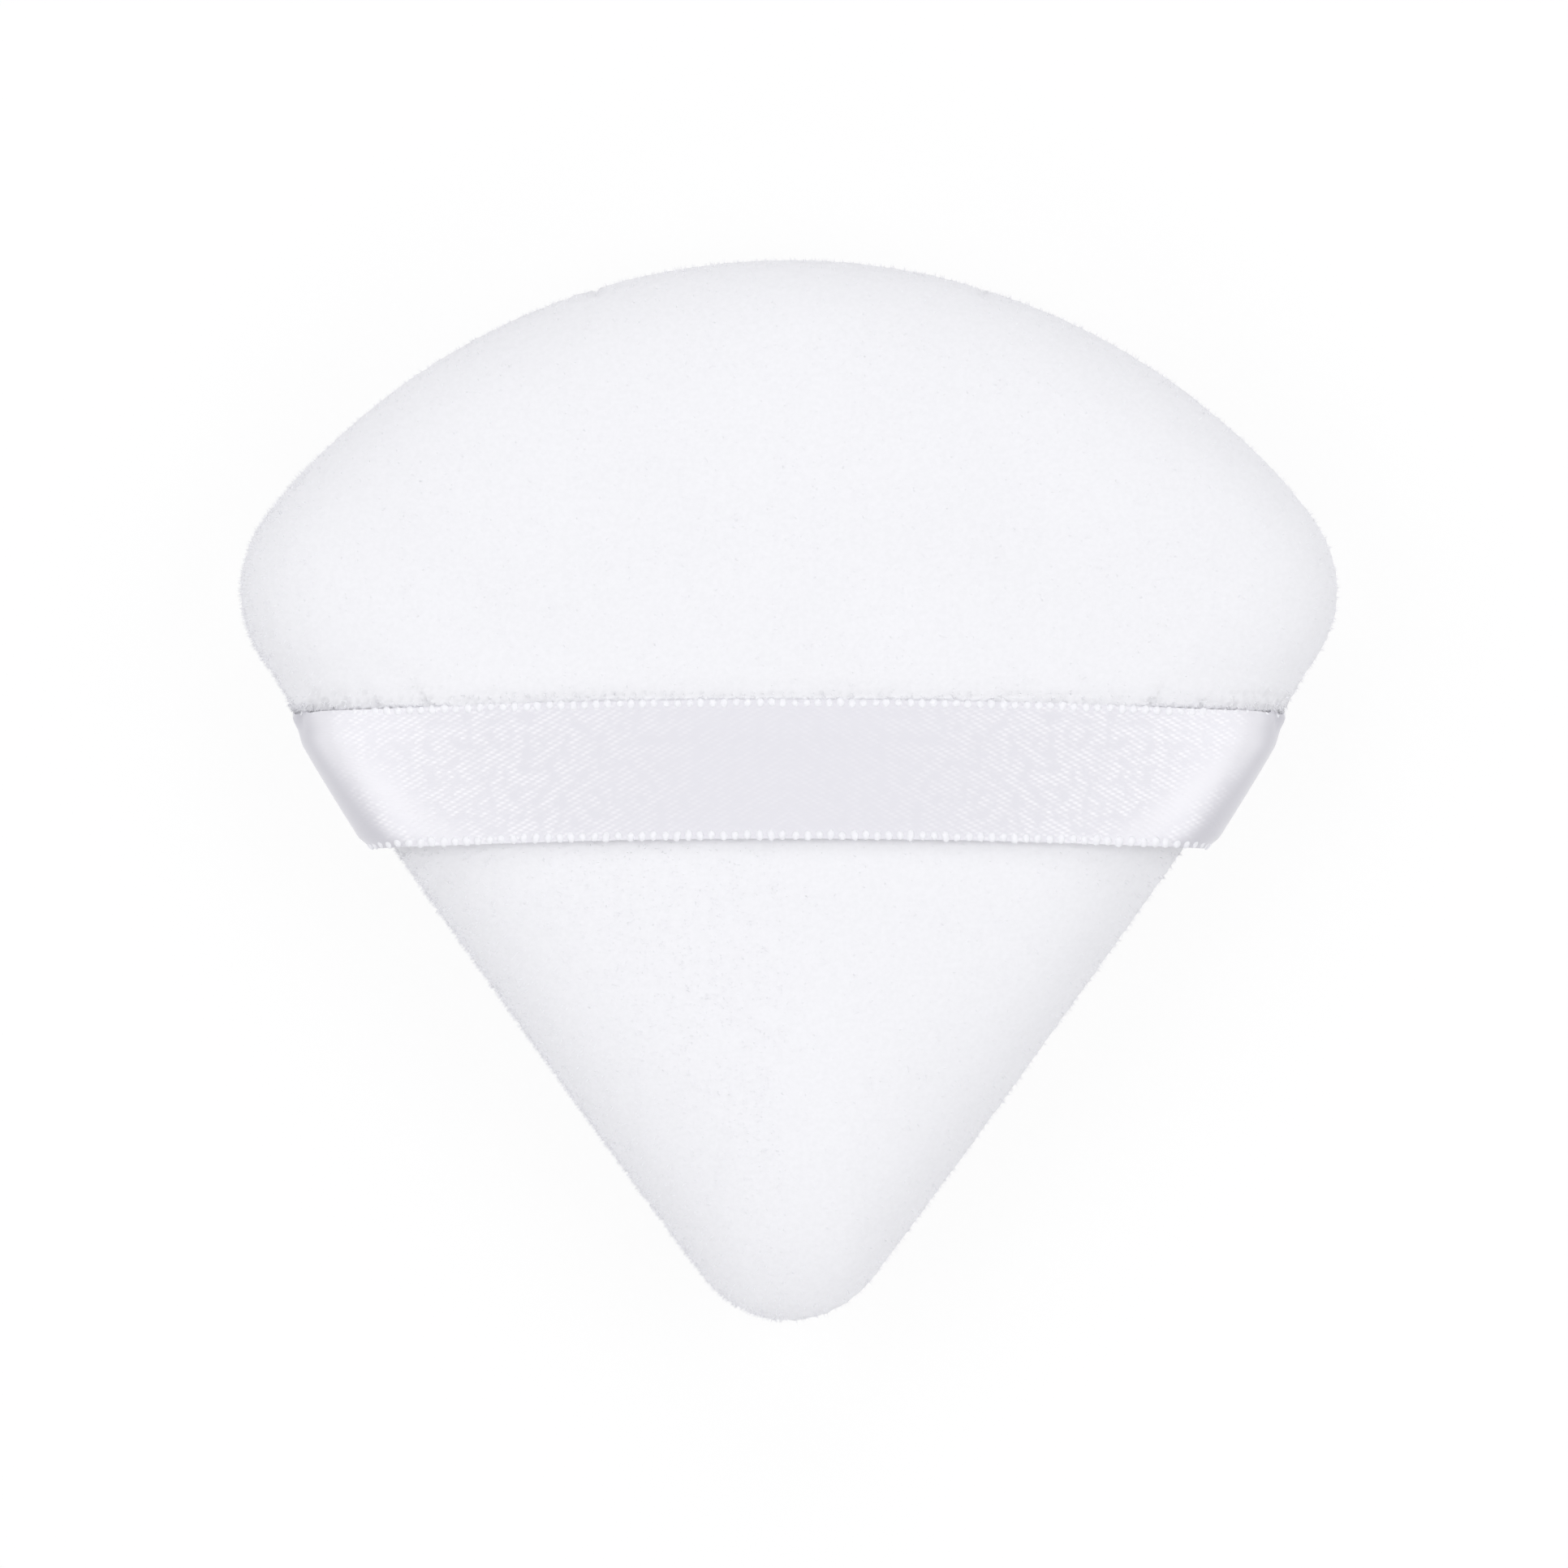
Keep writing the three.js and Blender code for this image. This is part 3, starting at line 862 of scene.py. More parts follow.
def plant_pile(cover, outer, name, side, seed):
    """All the fibres of one cover, as one piece."""
    chance = np.random.default_rng(seed)
    roots, ways = choose_places(cover, outer, side, chance)
    count = len(roots)
    long = chance.uniform(shortest, longest, (count, 1))
    aside = np.cross(ways, chance.normal(0, 1, (count, 3)))
    aside /= np.linalg.norm(aside, axis=1)[:, None]
    third = np.cross(ways, aside)
    points, sides = fibre_pattern()
    placed = (
        roots[:, None, :]
        + points[None, :, 0, None] * aside[:, None, :]
        + points[None, :, 1, None] * third[:, None, :]
        + (points[None, :, 2, None] + root_shift) * long[:, None, :] * ways[:, None, :]
    ).reshape(-1, 3)
    faces = [[i * len(points) + k for k in f] for i in range(count) for f in sides]
    pile = bpy.data.meshes.new(name)
    pile.from_pydata((placed * MM).tolist(), [], faces)
    piece = bpy.data.objects.new(name, pile)
    bpy.context.scene.collection.objects.link(piece)
    pile.materials.append(velour)
    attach(piece, "puff")
    print(name, count, "fibres,", len(pile.polygons), "faces")


plant_pile(front, front_outer, "velour_pile_front", 1, 3)
plant_pile(back, back_outer, "velour_pile_back", -1, 4)

# %% [markdown]
# ## Satin
# The finger band is polyester satin ribbon, a five-end satin: each warp thread, which
# runs the ribbon's length, floats over four weft threads and dives under the fifth, and
# the dive moves on by two wefts from one thread to the next. The crowns of the floats
# stand up and catch the light, and they line up as fine bright dashes that slant over a
# slightly darker ground. The dashes' pattern is the real weave, and their lighter tone
# over the darker ground is painted: a painted highlight and painted shade. The floats lie
# side by side like combed hair: their shine spreads across the threads and stays narrow
# along them. Threads are 0.08 mm apart on the real ribbon and are drawn twice as coarse,
# with floats of 0.7 mm, as nothing finer shows. The pattern reads the ribbon's own map,
# which is in millimetres, and an attribute that says how plainly the weave shows: least
# in the slack middle and on the ends drawn into the seam, most where the cloth bends over
# the shoulder.

# %% Weave the floats
warp_spacing, float_length, stagger = 0.16, 0.7, 0.4
crown_width = 0.42  # of a float's length, from its middle to where it has sunk


def weave_floats(material):
    """How far each spot of the weave is raised by a float, and the whole relief."""
    chart = add_node(material, "ShaderNodeTexCoord").outputs["UV"]
    spot = add_node(material, "ShaderNodeSeparateXYZ", inputs={"Vector": chart})
    thread = add_node(material, "ShaderNodeMath", {"operation": "DIVIDE"}, {
        0: spot.outputs["Y"], 1: warp_spacing})
    number = add_node(material, "ShaderNodeMath", {"operation": "FLOOR"}, {0: thread.outputs[0]})
    along = add_node(material, "ShaderNodeMath", {"operation": "DIVIDE"}, {
        0: spot.outputs["X"], 1: float_length})
    along = add_node(material, "ShaderNodeMath", {"operation": "MULTIPLY_ADD"}, {
        0: number.outputs[0], 1: stagger, 2: along.outputs[0]})
    off_crown = add_node(material, "ShaderNodeMath", {"operation": "PINGPONG"}, {
        0: along.outputs[0], 1: 0.5})
    crown = add_node(material, "ShaderNodeMapRange", {"interpolation_type": "SMOOTHSTEP"}, {
        "Value": off_crown.outputs[0], "From Min": 0.0, "From Max": crown_width,
        "To Min": 1.0, "To Max": 0.0})
    uneven = add_node(material, "ShaderNodeTexNoise", inputs={
        "Vector": chart, "Scale": 1.3, "Detail": 2.0})
    patchy = add_node(material, "ShaderNodeMapRange", inputs={
        "Value": uneven.outputs["Fac"], "From Min": 0.38, "From Max": 0.6})
    shows = add_node(material, "ShaderNodeAttribute", {"attribute_name": "weave_shows"})
    raised = crown.outputs["Result"]
    for share in (patchy.outputs["Result"], shows.outputs["Fac"]):
        lowered = add_node(material, "ShaderNodeMath", {"operation": "MULTIPLY"}, {
            0: raised, 1: share})
        raised = lowered.outputs[0]
    rounded = add_node(material, "ShaderNodeMath", {"operation": "PINGPONG"}, {
        0: thread.outputs[0], 1: 0.5})
    relief = add_node(material, "ShaderNodeMath", {"operation": "MULTIPLY_ADD"}, {
        0: rounded.outputs[0], 1: 0.25, 2: 1.0})
    relief = add_node(material, "ShaderNodeMath", {"operation": "ADD"}, {
        0: relief.outputs[0], 1: raised})
    return raised, relief.outputs[0]


print("threads", warp_spacing, "mm apart, floats", float_length, "mm long")

# %% [markdown]
# Two more attributes of the ribbon's mesh set the tone of its ends, and both are painted
# light. Where the cloth is drawn over the shoulder before it dips into the seam, a
# lighter plain tone is a painted highlight that hides the dashes. At the very end, where
# the cloth is pulled in between the covers and faces them instead of the light, a darker
# tone is painted shade. The two tones follow the cloth and not the camera, so they stay
# in place when the band is lifted.

# %% Finish the satin
weave_depth = 0.035


def make_satin():
    material, cloth = new_finish("woven_satin_ribbon")
    raised, relief = weave_floats(material)
    # The float crowns are painted lighter than the ground: painted highlight and shade on the real
    # weave pattern.
    shade = add_node(material, "ShaderNodeMix", {"data_type": "RGBA"}, {
        "Factor": raised, "A": colour("#e9e8ee"), "B": colour("#faf9fd")})
    # The first tone is a painted highlight on the shoulder, the second is painted shade at the
    # fold.
    for title, tone in (("taut", "#f1f0f5"), ("painted_fold_shade", "#d2d1d8")):
        share = add_node(material, "ShaderNodeAttribute", {"attribute_name": title})
        shade = add_node(material, "ShaderNodeMix", {"data_type": "RGBA"}, {
            "Factor": share.outputs["Fac"], "A": shade.outputs["Result"], "B": colour(tone)})
    bump = add_node(material, "ShaderNodeBump", inputs={
        "Strength": 0.5, "Distance": weave_depth * MM, "Height": relief})
    grain = add_node(material, "ShaderNodeTangent", {
        "direction_type": "UV_MAP", "uv_map": "UVMap"})
    plug(material, cloth, {
        "Base Color": shade.outputs["Result"], "Normal": bump.outputs["Normal"],
        "Tangent": grain.outputs["Tangent"], "IOR": 1.6, "Roughness": 0.36,
        "Anisotropic": 0.6, "Anisotropic Rotation": 0.25, "Specular IOR Level": 0.8})
    return material


satin = make_satin()
print("satin nodes:", len(satin.node_tree.nodes))

# %% [markdown]
# The loops along the ribbon's edges are the same yarn, but loose and unpressed, so they
# scatter the light more softly than the weave and look whiter. They get a finish of
# their own with a faint fluff of a quarter of a millimetre.

# %% Mix the looped edge
fluff_size, fluff_depth = 0.25, 0.03


def make_selvedge():
    material, cloth = new_finish("looped_satin_edge")
    place = add_node(material, "ShaderNodeTexCoord").outputs["Object"]
    fluff = add_node(material, "ShaderNodeTexNoise", inputs={
        "Vector": place, "Scale": per(fluff_size), "Detail": 2.0})
    shade = add_node(material, "ShaderNodeMix", {"data_type": "RGBA"}, {
        "Factor": fluff.outputs["Fac"], "A": colour("#f0f0f5"), "B": colour("#fafafd")})
    bump = add_node(material, "ShaderNodeBump", inputs={
        "Strength": 0.3, "Distance": fluff_depth * MM, "Height": fluff.outputs["Fac"]})
    plug(material, cloth, {
        "Base Color": shade.outputs["Result"], "Normal": bump.outputs["Normal"],
        "Roughness": 0.6, "Specular IOR Level": 0.3})
    return material


selvedge = make_selvedge()
print("selvedge nodes:", len(selvedge.node_tree.nodes))

# %% [markdown]
# ## The ribbon's run
# A flat strap isn't simulated: its way is known. From the middle it lies on the crown,
# bends over the shoulder, rounds the side and goes level into the seam, where it was
# caught by the stitches. The puff narrows there, so the lower edge has a shorter way
# and stands further off. One function gives the run of any thread of the ribbon, from
# its lower edge, -1, to its upper one, 1, as points and thickness directions. To lie on
# the cover it has to know the cover's height and slope at any point, which both follow
# from the share of the way out to the rim.

# %% Look out from the hub to the rim
def outline_points(spacing, inset=0.0):
    """Points all round the outline, or round a line drawn in by inset."""
    right = []
    for centre, radius, first, last in arcs:
        steps = max(3, round(radius * (last - first) / spacing))
        for i in range(steps):
            angle, reach = first + (last - first) * i / steps, radius - inset
            right.append((centre.x + reach * math.cos(angle), centre.y + reach * math.sin(angle)))
    top = [(0.0, puff_length / 2 - inset)]
    return np.array(right + top + [(-x, y) for x, y in right[:0:-1]])


rim_points = outline_points(0.5)
rim_ways = np.roll(rim_points, -1, axis=0) - rim_points
rim_outs = np.stack([rim_ways[:, 1], -rim_ways[:, 0]], axis=1)
rim_outs /= np.linalg.norm(rim_outs, axis=1)[:, None]
rim_reach = (rim_outs * (rim_points - np.array(hub))).sum(1)


def facing(x, y):
    """The share of the way from the hub to the outline, the way out there and its reach."""
    shares = rim_outs @ (np.array((x, y)) - np.array(hub)) / rim_reach
    i = int(shares.argmax())
    return float(shares[i]), Vector(rim_outs[i]), float(rim_reach[i])


def x_at_share(share, across):
    """Where a thread of the ribbon reaches a share of the way out, found by halving."""
    near, far = 0.0, puff_width / 2
    for _ in range(40):
        x = (near + far) / 2
        near, far = (x, far) if facing(x, ribbon_line(x, across))[0] < share else (near, x)
    return near


side_reach = facing(puff_width / 2, ribbon_y)[2]
print("the side is", round(side_reach, 1), "mm from the hub, and the ribbon's middle reaches it",
      round(x_at_share(1, 0), 1), "mm from the puff's middle")

# %% Lay a thread over the crown and the shoulder
ribbon_thickness, ribbon_clearance, band_float = 0.25, 0.2, 0.12
ribbon_lift = ribbon_clearance + ribbon_thickness / 2
bridging = 0.7  # how far the slack lower edge bridges the velour's shoulder
tail_reach = 7.0  # how far from the side the ribbon begins to bend down
crown_steps, shoulder_steps = 60, 40


def over_cover(x, across, lift):
    """A point of the ribbon at that distance from the crown, on its own straight line."""
    y = ribbon_line(x, across)
    share, out, reach = facing(x, y)
    height = crown_rise * lift_of(share)
    steep = flatness * share ** (flatness - 1) / reach
    normal = Vector((out.x * steep, out.y * steep, 2 * height / crown_rise**2)).normalized()
    level = normal.x**2 + normal.z**2
    spot = Vector((x + normal.x * lift / level, y, shoulder + height + normal.z * lift / level))
    return spot, normal


def over_puff(across, middle_extra, side_extra):
    """A thread's points and directions from the puff's middle to its side."""
    start = math.asin(1 - tail_reach / side_reach)
    first_x = x_at_share(math.sin(start), across)
    places = [over_cover(first_x * j / crown_steps, across, ribbon_lift + middle_extra)
              for j in range(crown_steps)]
    for j in range(shoulder_steps + 1):
        done = j / shoulder_steps
        x = x_at_share(math.sin(start + (math.pi / 2 - start) * done), across)
        extra = middle_extra + (side_extra - middle_extra) * soft_step(done, 0, 1)
        extra += bridging * math.sqrt((1 - across) / 2) * math.sin(math.pi * done**1.3) ** 2
        places.append(over_cover(x, across, ribbon_lift + extra))
    return places


print("the middle thread bends down from", round(over_puff(0, 0, 0)[crown_steps][0].x, 1),
      "mm to", round(over_puff(0, 0, 0)[-1][0].x, 1), "mm")

# %% Round the side and run into the seam
stand_off = 0.9
low_corner = 0.3  # how far the outer corner of the lower edge rounds in
tuck_depth, tuck_width, tuck_place = 0.3, 0.5, 2.2  # the little fold at the upper outer corner
hidden_end = 5.0  # how much of each end isn't seen
edge_steps, seam_steps = 16, 12


def into_seam(across, side_extra):
    """A thread's points and directions from the puff's side, round its edge and inside."""
    x = x_at_share(1, across)
    y = ribbon_line(x, across)
    out = facing(x, y)[1]
    radius = seam_roll + ribbon_lift + side_extra
    beyond = (ribbon_lift + side_extra) * Vector((1 / out.x - out.x, -out.y))
    turn_end = math.asin(min(1.0, (shoulder - ribbon_thickness / 2) / radius))

    def spot(away, height):
        return Vector((x + beyond.x + out.x * away, y + beyond.y + out.y * away, height))

    places = []
    for j in range(1, edge_steps + 1):
        turn = turn_end * j / edge_steps
        normal = Vector((out.x * math.cos(turn), out.y * math.cos(turn), -math.sin(turn)))
        away = radius * math.cos(turn) - seam_roll
        places.append((spot(away, shoulder - radius * math.sin(turn)), normal))
    end, end_normal = places[-1]
    for j in range(1, seam_steps + 1):
        done = j / seam_steps
        fold = soft_step(done, 0, 0.35)
        normal = (end_normal * (1 - fold) + Vector((0, 0, -1)) * fold).normalized()
        away = (radius * math.cos(turn_end) - seam_roll) * (1 - done) - allowance * j / seam_steps
        places.append((spot(away, end.z * (1 - soft_step(done, 0, 0.3))), normal))
    return places


def run_lengths(points):
    """The length of a path up to each of its points."""
    return np.concatenate([[0], np.cumsum(np.linalg.norm(np.diff(points, axis=0), axis=1))])


def read_at(at, lengths, rows):
    """Rows of three numbers that are given along a path, read off at other lengths."""
    return np.stack([np.interp(at, lengths, rows[:, k]) for k in range(3)], axis=1)


def ribbon_run(across, columns):
    """A thread's points, directions and lengths from the middle, and the length shown."""
    low = (1 - across) / 2
    pressed = edge_press * soft_step(across, *taut_part)
    middle_extra = band_float * low**2 - pressed
    side_extra = stand_off * math.sqrt(low) - low_corner * soft_step(low, 0.91, 1.0) - pressed
    places = over_puff(across, middle_extra, side_extra) + into_seam(across, side_extra)
    points = np.array([place for place, _ in places])
    normals = np.array([normal for _, normal in places])
    lengths = run_lengths(points)
    at = np.linspace(0, lengths[-1], columns)
    points, normals = read_at(at, lengths, points), read_at(at, lengths, normals)
    normals /= np.linalg.norm(normals, axis=1)[:, None]
    shown = lengths[-1] - hidden_end
    off_fold = (at - shown + tuck_place) / tuck_width
    fold = (1 - off_fold**2) * np.exp(-(off_fold**2) / 2) * (1 - soft_step(low, 0.0, 0.16))
    return points - normals * tuck_depth * fold[:, None], normals, at, shown


for across in (-1, 0, 1):
    length = ribbon_run(across, 50)[2][-1]
    print("thread at", across, "is", round(float(length), 1), "mm from the middle to its end")

# %% [markdown]
# ## Two halves of one ribbon
# When fingers lift the band, its middle rises and its ends stay in the seams, so the
# cloth between has to bend. Each half therefore is its own piece, and the two meet edge
# to edge in the middle.
# A flat grid is added at the ribbon's size, each of its rows is laid along the run of
# its own thread, and Solidify gives the cloth its quarter of a millimetre. The same
# rows say how plainly the weave shows, where the fold gets painted shade and where the
# shoulder gets a painted highlight. Both lie further from the end at the lower edge, so
# they run aslant.

# %% Lay the ribbon
rows_across, columns_along = 37, 170
weave_least, weave_gain = 0.2, 0.8  # in the slack middle, and what the bend adds
fold_shade_slant, painted_gleam_slant = 3.0, 7.0  # how much further in the lower edge gets the painted shade and the painted highlight
painted_gleam_place, painted_gleam_width = 3.4, 1.5


def ribbon_marks(along, shown, low):
    """How plainly the weave shows, painted fold shade, painted shoulder highlight; low is 1 below.
    """
    short = shown - along
    plain = weave_least + weave_gain * soft_step(along, 3, 19)
    plain = plain * (1 - 0.9 * soft_step(along, shown - 6.5, shown - 3.5))
    # Painted shade at the fold, darkest at the very end.
    painted_fold_shade = 1 - soft_step(short - fold_shade_slant * low, 2.4, 4.3)
    # Painted highlight on the shoulder, a band a little in from the fold.
    taut = math.exp(-(((short - painted_gleam_slant * low - painted_gleam_place) / painted_gleam_width) ** 2))
    return plain, painted_fold_shade, taut


def lay_ribbon(name, side):
    """One half of the ribbon, side -1 for the left and 1 for the right."""
    bare_hands()
    bpy.ops.mesh.primitive_grid_add(
        x_subdivisions=columns_along - 1, y_subdivisions=rows_across - 1, size=ribbon_width * MM
    )
    strip = bpy.context.object
    strip.name = strip.data.name = name
    spots = [v.co.copy() for v in strip.data.vertices]
    order = sorted(range(len(spots)), key=lambda i: (round(spots[i].y, 7), spots[i].x))
    chart, marks = {}, {}
    for row in range(rows_across):
        across = 2 * row / (rows_across - 1) - 1
        points, _, at, shown = ribbon_run(across, columns_along)
        for column in range(columns_along):
            index = order[row * columns_along + column]
            x, y, z = points[column]
            strip.data.vertices[index].co = mm(side * x, y, z + seam_height)
            chart[index] = (at[column], across * ribbon_width / 2)
            marks[index] = ribbon_marks(at[column], shown, (1 - across) / 2)
    layer = strip.data.uv_layers["UVMap"]
    for loop in strip.data.loops:
        layer.data[loop.index].uv = chart[loop.vertex_index]
    # The weave's plainness, the fold's painted shade and the shoulder's painted highlight.
    for k, title in enumerate(("weave_shows", "painted_fold_shade", "taut")):
        layer = strip.data.attributes.new(title, "FLOAT", "POINT")
        layer.data.foreach_set("value", [marks[i][k] for i in range(len(marks))])
    if side < 0:
        strip.data.flip_normals()
    apply_modifier(strip, "SOLIDIFY", thickness=ribbon_thickness * MM, offset=0.0)
    pick_up(strip)
    bpy.ops.object.shade_smooth_by_angle(angle=math.radians(40))
    strip.data.materials.append(satin)
    return strip


ribbon_left = lay_ribbon("satin_ribbon_left", -1)
ribbon_right = lay_ribbon("satin_ribbon_right", 1)
for strip in (ribbon_left, ribbon_right):
    low, high = points_of(strip).min(0) / MM, points_of(strip).max(0) / MM
    print(strip.name, "from", np.round(low, 2), "to", np.round(high, 2))

# %% [markdown]
# ## The looped edges
# Along both edges the weft turns back and leaves a row of small bright loops, which is
# what makes the ribbon's edge look beaded. One loop is a ball drawn out to 0.74 mm below
# or 0.62 mm above, and flattened. It is copied along the edge every 0.74 mm, turned with
# the ribbon, with a small unevenness from one to the next as on the real one.

# %% Set the loops along the edges
loop_pitch = 0.74
loop_sizes = {-1: (0.74, 0.54, 0.3), 1: (0.62, 0.56, 0.26)}  # lower and upper edge
loop_inset, loop_end = {-1: 0.24, 1: 0.2}, {-1: 1.3, 1: 0.3}  # from the edge and the seam
loop_rise = 0.08
fine_columns = 600


def make_loop(name, length, width, height):
    """One loop at the origin: a ball, stretched and flattened."""
    bare_hands()
    bpy.ops.mesh.primitive_uv_sphere_add(segments=8, ring_count=6, radius=0.5 * MM)
    loop = bpy.context.object
    loop.name = name
    loop.scale = (width, length, height)
    bpy.ops.object.transform_apply(location=False, rotation=False, scale=True)
    return loop


def edge_loops(name, side, across):
    """A row of loops along one edge of one half of the ribbon."""
    points, normals, at, shown = ribbon_run(across, fine_columns)
    pattern = make_loop("loop_pattern", *loop_sizes[across])
    chance = random.Random(f"{side}{across}")
    row, place = [], loop_pitch / 2
    while place < shown - loop_end[across]:
        i = int(np.searchsorted(at, place))
        along = Vector(points[min(i + 1, fine_columns - 1)] - points[i - 1]).normalized()
        up = Vector(normals[i])
        inside = up.cross(along).normalized() * -across
        inward = loop_inset[across] + chance.uniform(-0.04, 0.04)
        centre = Vector(points[i]) + inside * inward + up * loop_rise
        lean = chance.uniform(-0.32, 0.32)
        along, inside = (along * math.cos(lean) + inside * math.sin(lean),
                         inside * math.cos(lean) - along * math.sin(lean))
        size = chance.uniform(0.8, 1.1)
        twin = copy_of(pattern, name)
        for v in twin.data.vertices:
            spot = centre * MM + along * v.co.x + inside * v.co.y * size + up * v.co.z
            v.co = (side * spot.x, spot.y, spot.z + seam_height * MM)
        row.append(twin)
        place += loop_pitch * chance.uniform(0.94, 1.06)
    bpy.data.objects.remove(pattern)
    return row


def join_as(name, parts, finish):
    """Joins parts to one piece, its faces outwards, with one finish."""
    bare_hands()
    for part in parts:
        part.select_set(True)
    bpy.context.view_layer.objects.active = parts[0]
    bpy.ops.object.join()
    whole = bpy.context.object
    whole.name = whole.data.name = name
    edit_all()
    bpy.ops.mesh.normals_make_consistent(inside=False)
    bpy.ops.object.mode_set(mode="OBJECT")
    smooth_finish(whole, finish)
    return whole


edges = []
for name, side in (("ribbon_edge_left", -1), ("ribbon_edge_right", 1)):
    lower, upper = edge_loops(name, side, -1), edge_loops(name, side, 1)
    edges.append(join_as(name, lower + upper, selvedge))
    print(name, "has", len(lower), "loops below and", len(upper), "above")

# %% [markdown]
# ## The ribbon's pieces in place
# The ribbon's end is slanted like the side that it is sewn into. Here the two halves and
# their looped edges get their placing baked into their points, and the model's ribbon
# parts are hidden. The point where the ribbon's middle meets the side is worked out too.

# %% Bake the ribbon's pieces in place
rim_x = x_at_share(1, 0)
rim_y = ribbon_line(rim_x, 0)
rim_out = facing(rim_x, rim_y)[1]


for piece, side in ((ribbon_left, -1), (ribbon_right, 1), (edges[0], -1), (edges[1], 1)):
    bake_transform(piece)
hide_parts("ribbon_band", "ribbon_tail_left")
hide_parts("ribbon_band", "ribbon_tail_right")

# %% [markdown]
# ## The sponge
# Inside is a pad of soft open-celled foam, cut to the outline and pinched by the seam
# allowances, which press a groove into its edge. The same compass outline is extruded
# up from the groove's floor, out to the rim, and then ring by ring to the crown; a
# mirror adds the other half. A remesh rounds its edges as soft foam has them, and a
# cellular noise sinks the pores. Foam is cut and not filled, so nothing is simulated.

# %% Cut the sponge
sponge_gap, rim_gap = 0.3, 0.7  # to the velour; more at the rim, where the lining is coarse
sponge_inset = cloth_thickness + rim_gap
groove_inset, groove_half = allowance + rim_gap, 1.95
sponge_rise = lining_rise - sponge_gap
sponge_rings = 16


def cut_sponge(name):
    """The foam pad, from the groove's floor out to its rim and up to the crown."""
    rim_share = (1 - ((groove_half - raw_edge) / sponge_rise) ** 2) ** (1 / flatness)
    foam = draw_outline(name, groove_inset, 0.8)
    edit_all()
    extrude_ring(1, groove_half)
    bpy.ops.mesh.extrude_region_move()

    def to_rim(x, y, z):
        out = from_edge(x, y)[1]
        rim = Vector((x, y)) + out * (groove_inset - sponge_inset) - Vector(hub)
        return (*(Vector(hub) + rim * rim_share), z)

    move_selected(foam, to_rim)
    shares = [math.sin(math.asin(rim_share) * (1 - i / sponge_rings))
              for i in range(1, sponge_rings)]
    climb(shares, rim_share, groove_half, raw_edge, sponge_rise)
    bpy.ops.object.mode_set(mode="OBJECT")
    apply_modifier(foam, "MIRROR", use_axis=(False, False, True), use_clip=True)
    close_up()
    return foam


sponge = cut_sponge("foam_core")
print("sponge as cut:", len(sponge.data.polygons), "faces,", width_and_length(sponge), "mm")

# %% Round its edges and sink the pores
foam_voxel = 0.42
pore_size, pore_depth = 1.3, 0.22

resize_mesh(sponge, enlarged)
apply_modifier(sponge, "REMESH", mode="VOXEL", voxel_size=foam_voxel * MM * enlarged)
apply_modifier(sponge, "SMOOTH", factor=0.5, iterations=3)
resize_mesh(sponge, 1 / enlarged)
ways = [v.normal.copy() for v in sponge.data.vertices]
for v, way in zip(sponge.data.vertices, ways):
    near, second = noise.voronoi(v.co / (pore_size * MM))[0][:2]
    v.co -= way * pore_depth * MM * soft_step(second - near, 0.05, 0.6)
put_points(sponge, points_of(sponge) + np.array(mm(0, 0, seam_height)))
print("sponge:", len(sponge.data.polygons), "faces,", width_and_length(sponge),
      "mm, from and to", low_and_high(sponge), "mm above the table")

# %% [markdown]
# The foam is polyurethane, foamed in a block and then sliced, so its surface is all cut
# cells: little hollows between thin pale walls, and the hollows are painted a darker tone,
# a painted shade, as well as sunk by the bump. Cells are 0.5 mm across on a fine sponge.
# It has aged to a warm cream, as this foam does, and has no shine at all.

# %% Mix the foam
cell_size, cloud_size, cell_depth = 0.5, 7, 0.12


def make_foam():
    material, foam = new_finish("open_cell_foam")
    place = add_node(material, "ShaderNodeTexCoord").outputs["Object"]
    cells = add_node(material, "ShaderNodeTexVoronoi", inputs={
        "Vector": place, "Scale": per(cell_size)})
    walls = add_node(material, "ShaderNodeMapRange", {"interpolation_type": "SMOOTHSTEP"}, {
        "Value": cells.outputs["Distance"], "From Min": 0.15, "From Max": 0.6})
    cloudy = add_node(material, "ShaderNodeTexNoise", inputs={
        "Vector": place, "Scale": per(cloud_size), "Detail": 3.0})
    aged = add_node(material, "ShaderNodeMix", {"data_type": "RGBA"}, {
        "Factor": cloudy.outputs["Fac"], "A": colour("#f6f0e0"), "B": colour("#eee4cc")})
    # The hollows get the darker tone #d9cdb0: painted shade.
    shade = add_node(material, "ShaderNodeMix", {"data_type": "RGBA"}, {
        "Factor": walls.outputs["Result"], "A": colour("#d9cdb0"), "B": aged.outputs["Result"]})
    bump = add_node(material, "ShaderNodeBump", inputs={
        "Strength": 0.7, "Distance": cell_depth * MM, "Height": walls.outputs["Result"]})
    plug(material, foam, {
        "Base Color": shade.outputs["Result"], "Normal": bump.outputs["Normal"],
        "Roughness": 0.95, "Specular IOR Level": 0.2})
    return material


smooth_finish(sponge, make_foam())
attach(sponge, "puff")
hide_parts("sponge_core")
print("finish of", sponge.name, "is", sponge.data.materials[0].name)

# %% [markdown]
# ## The threads
# The machine seam has two threads, one on each allowance. They run from one end of the
# turning gap, round the tip and back to the gap's other end, and dip towards the
# cloth at each stitch, where the two lock. The gap, through which the puff was turned
# right side out, is closed by hand with a thread that weaves in and out between the
# two edges. All are two plies twisted together: two curves wound round one path, given
# a thickness and made a mesh.

# %% Twist a thread
points_per_turn = 10


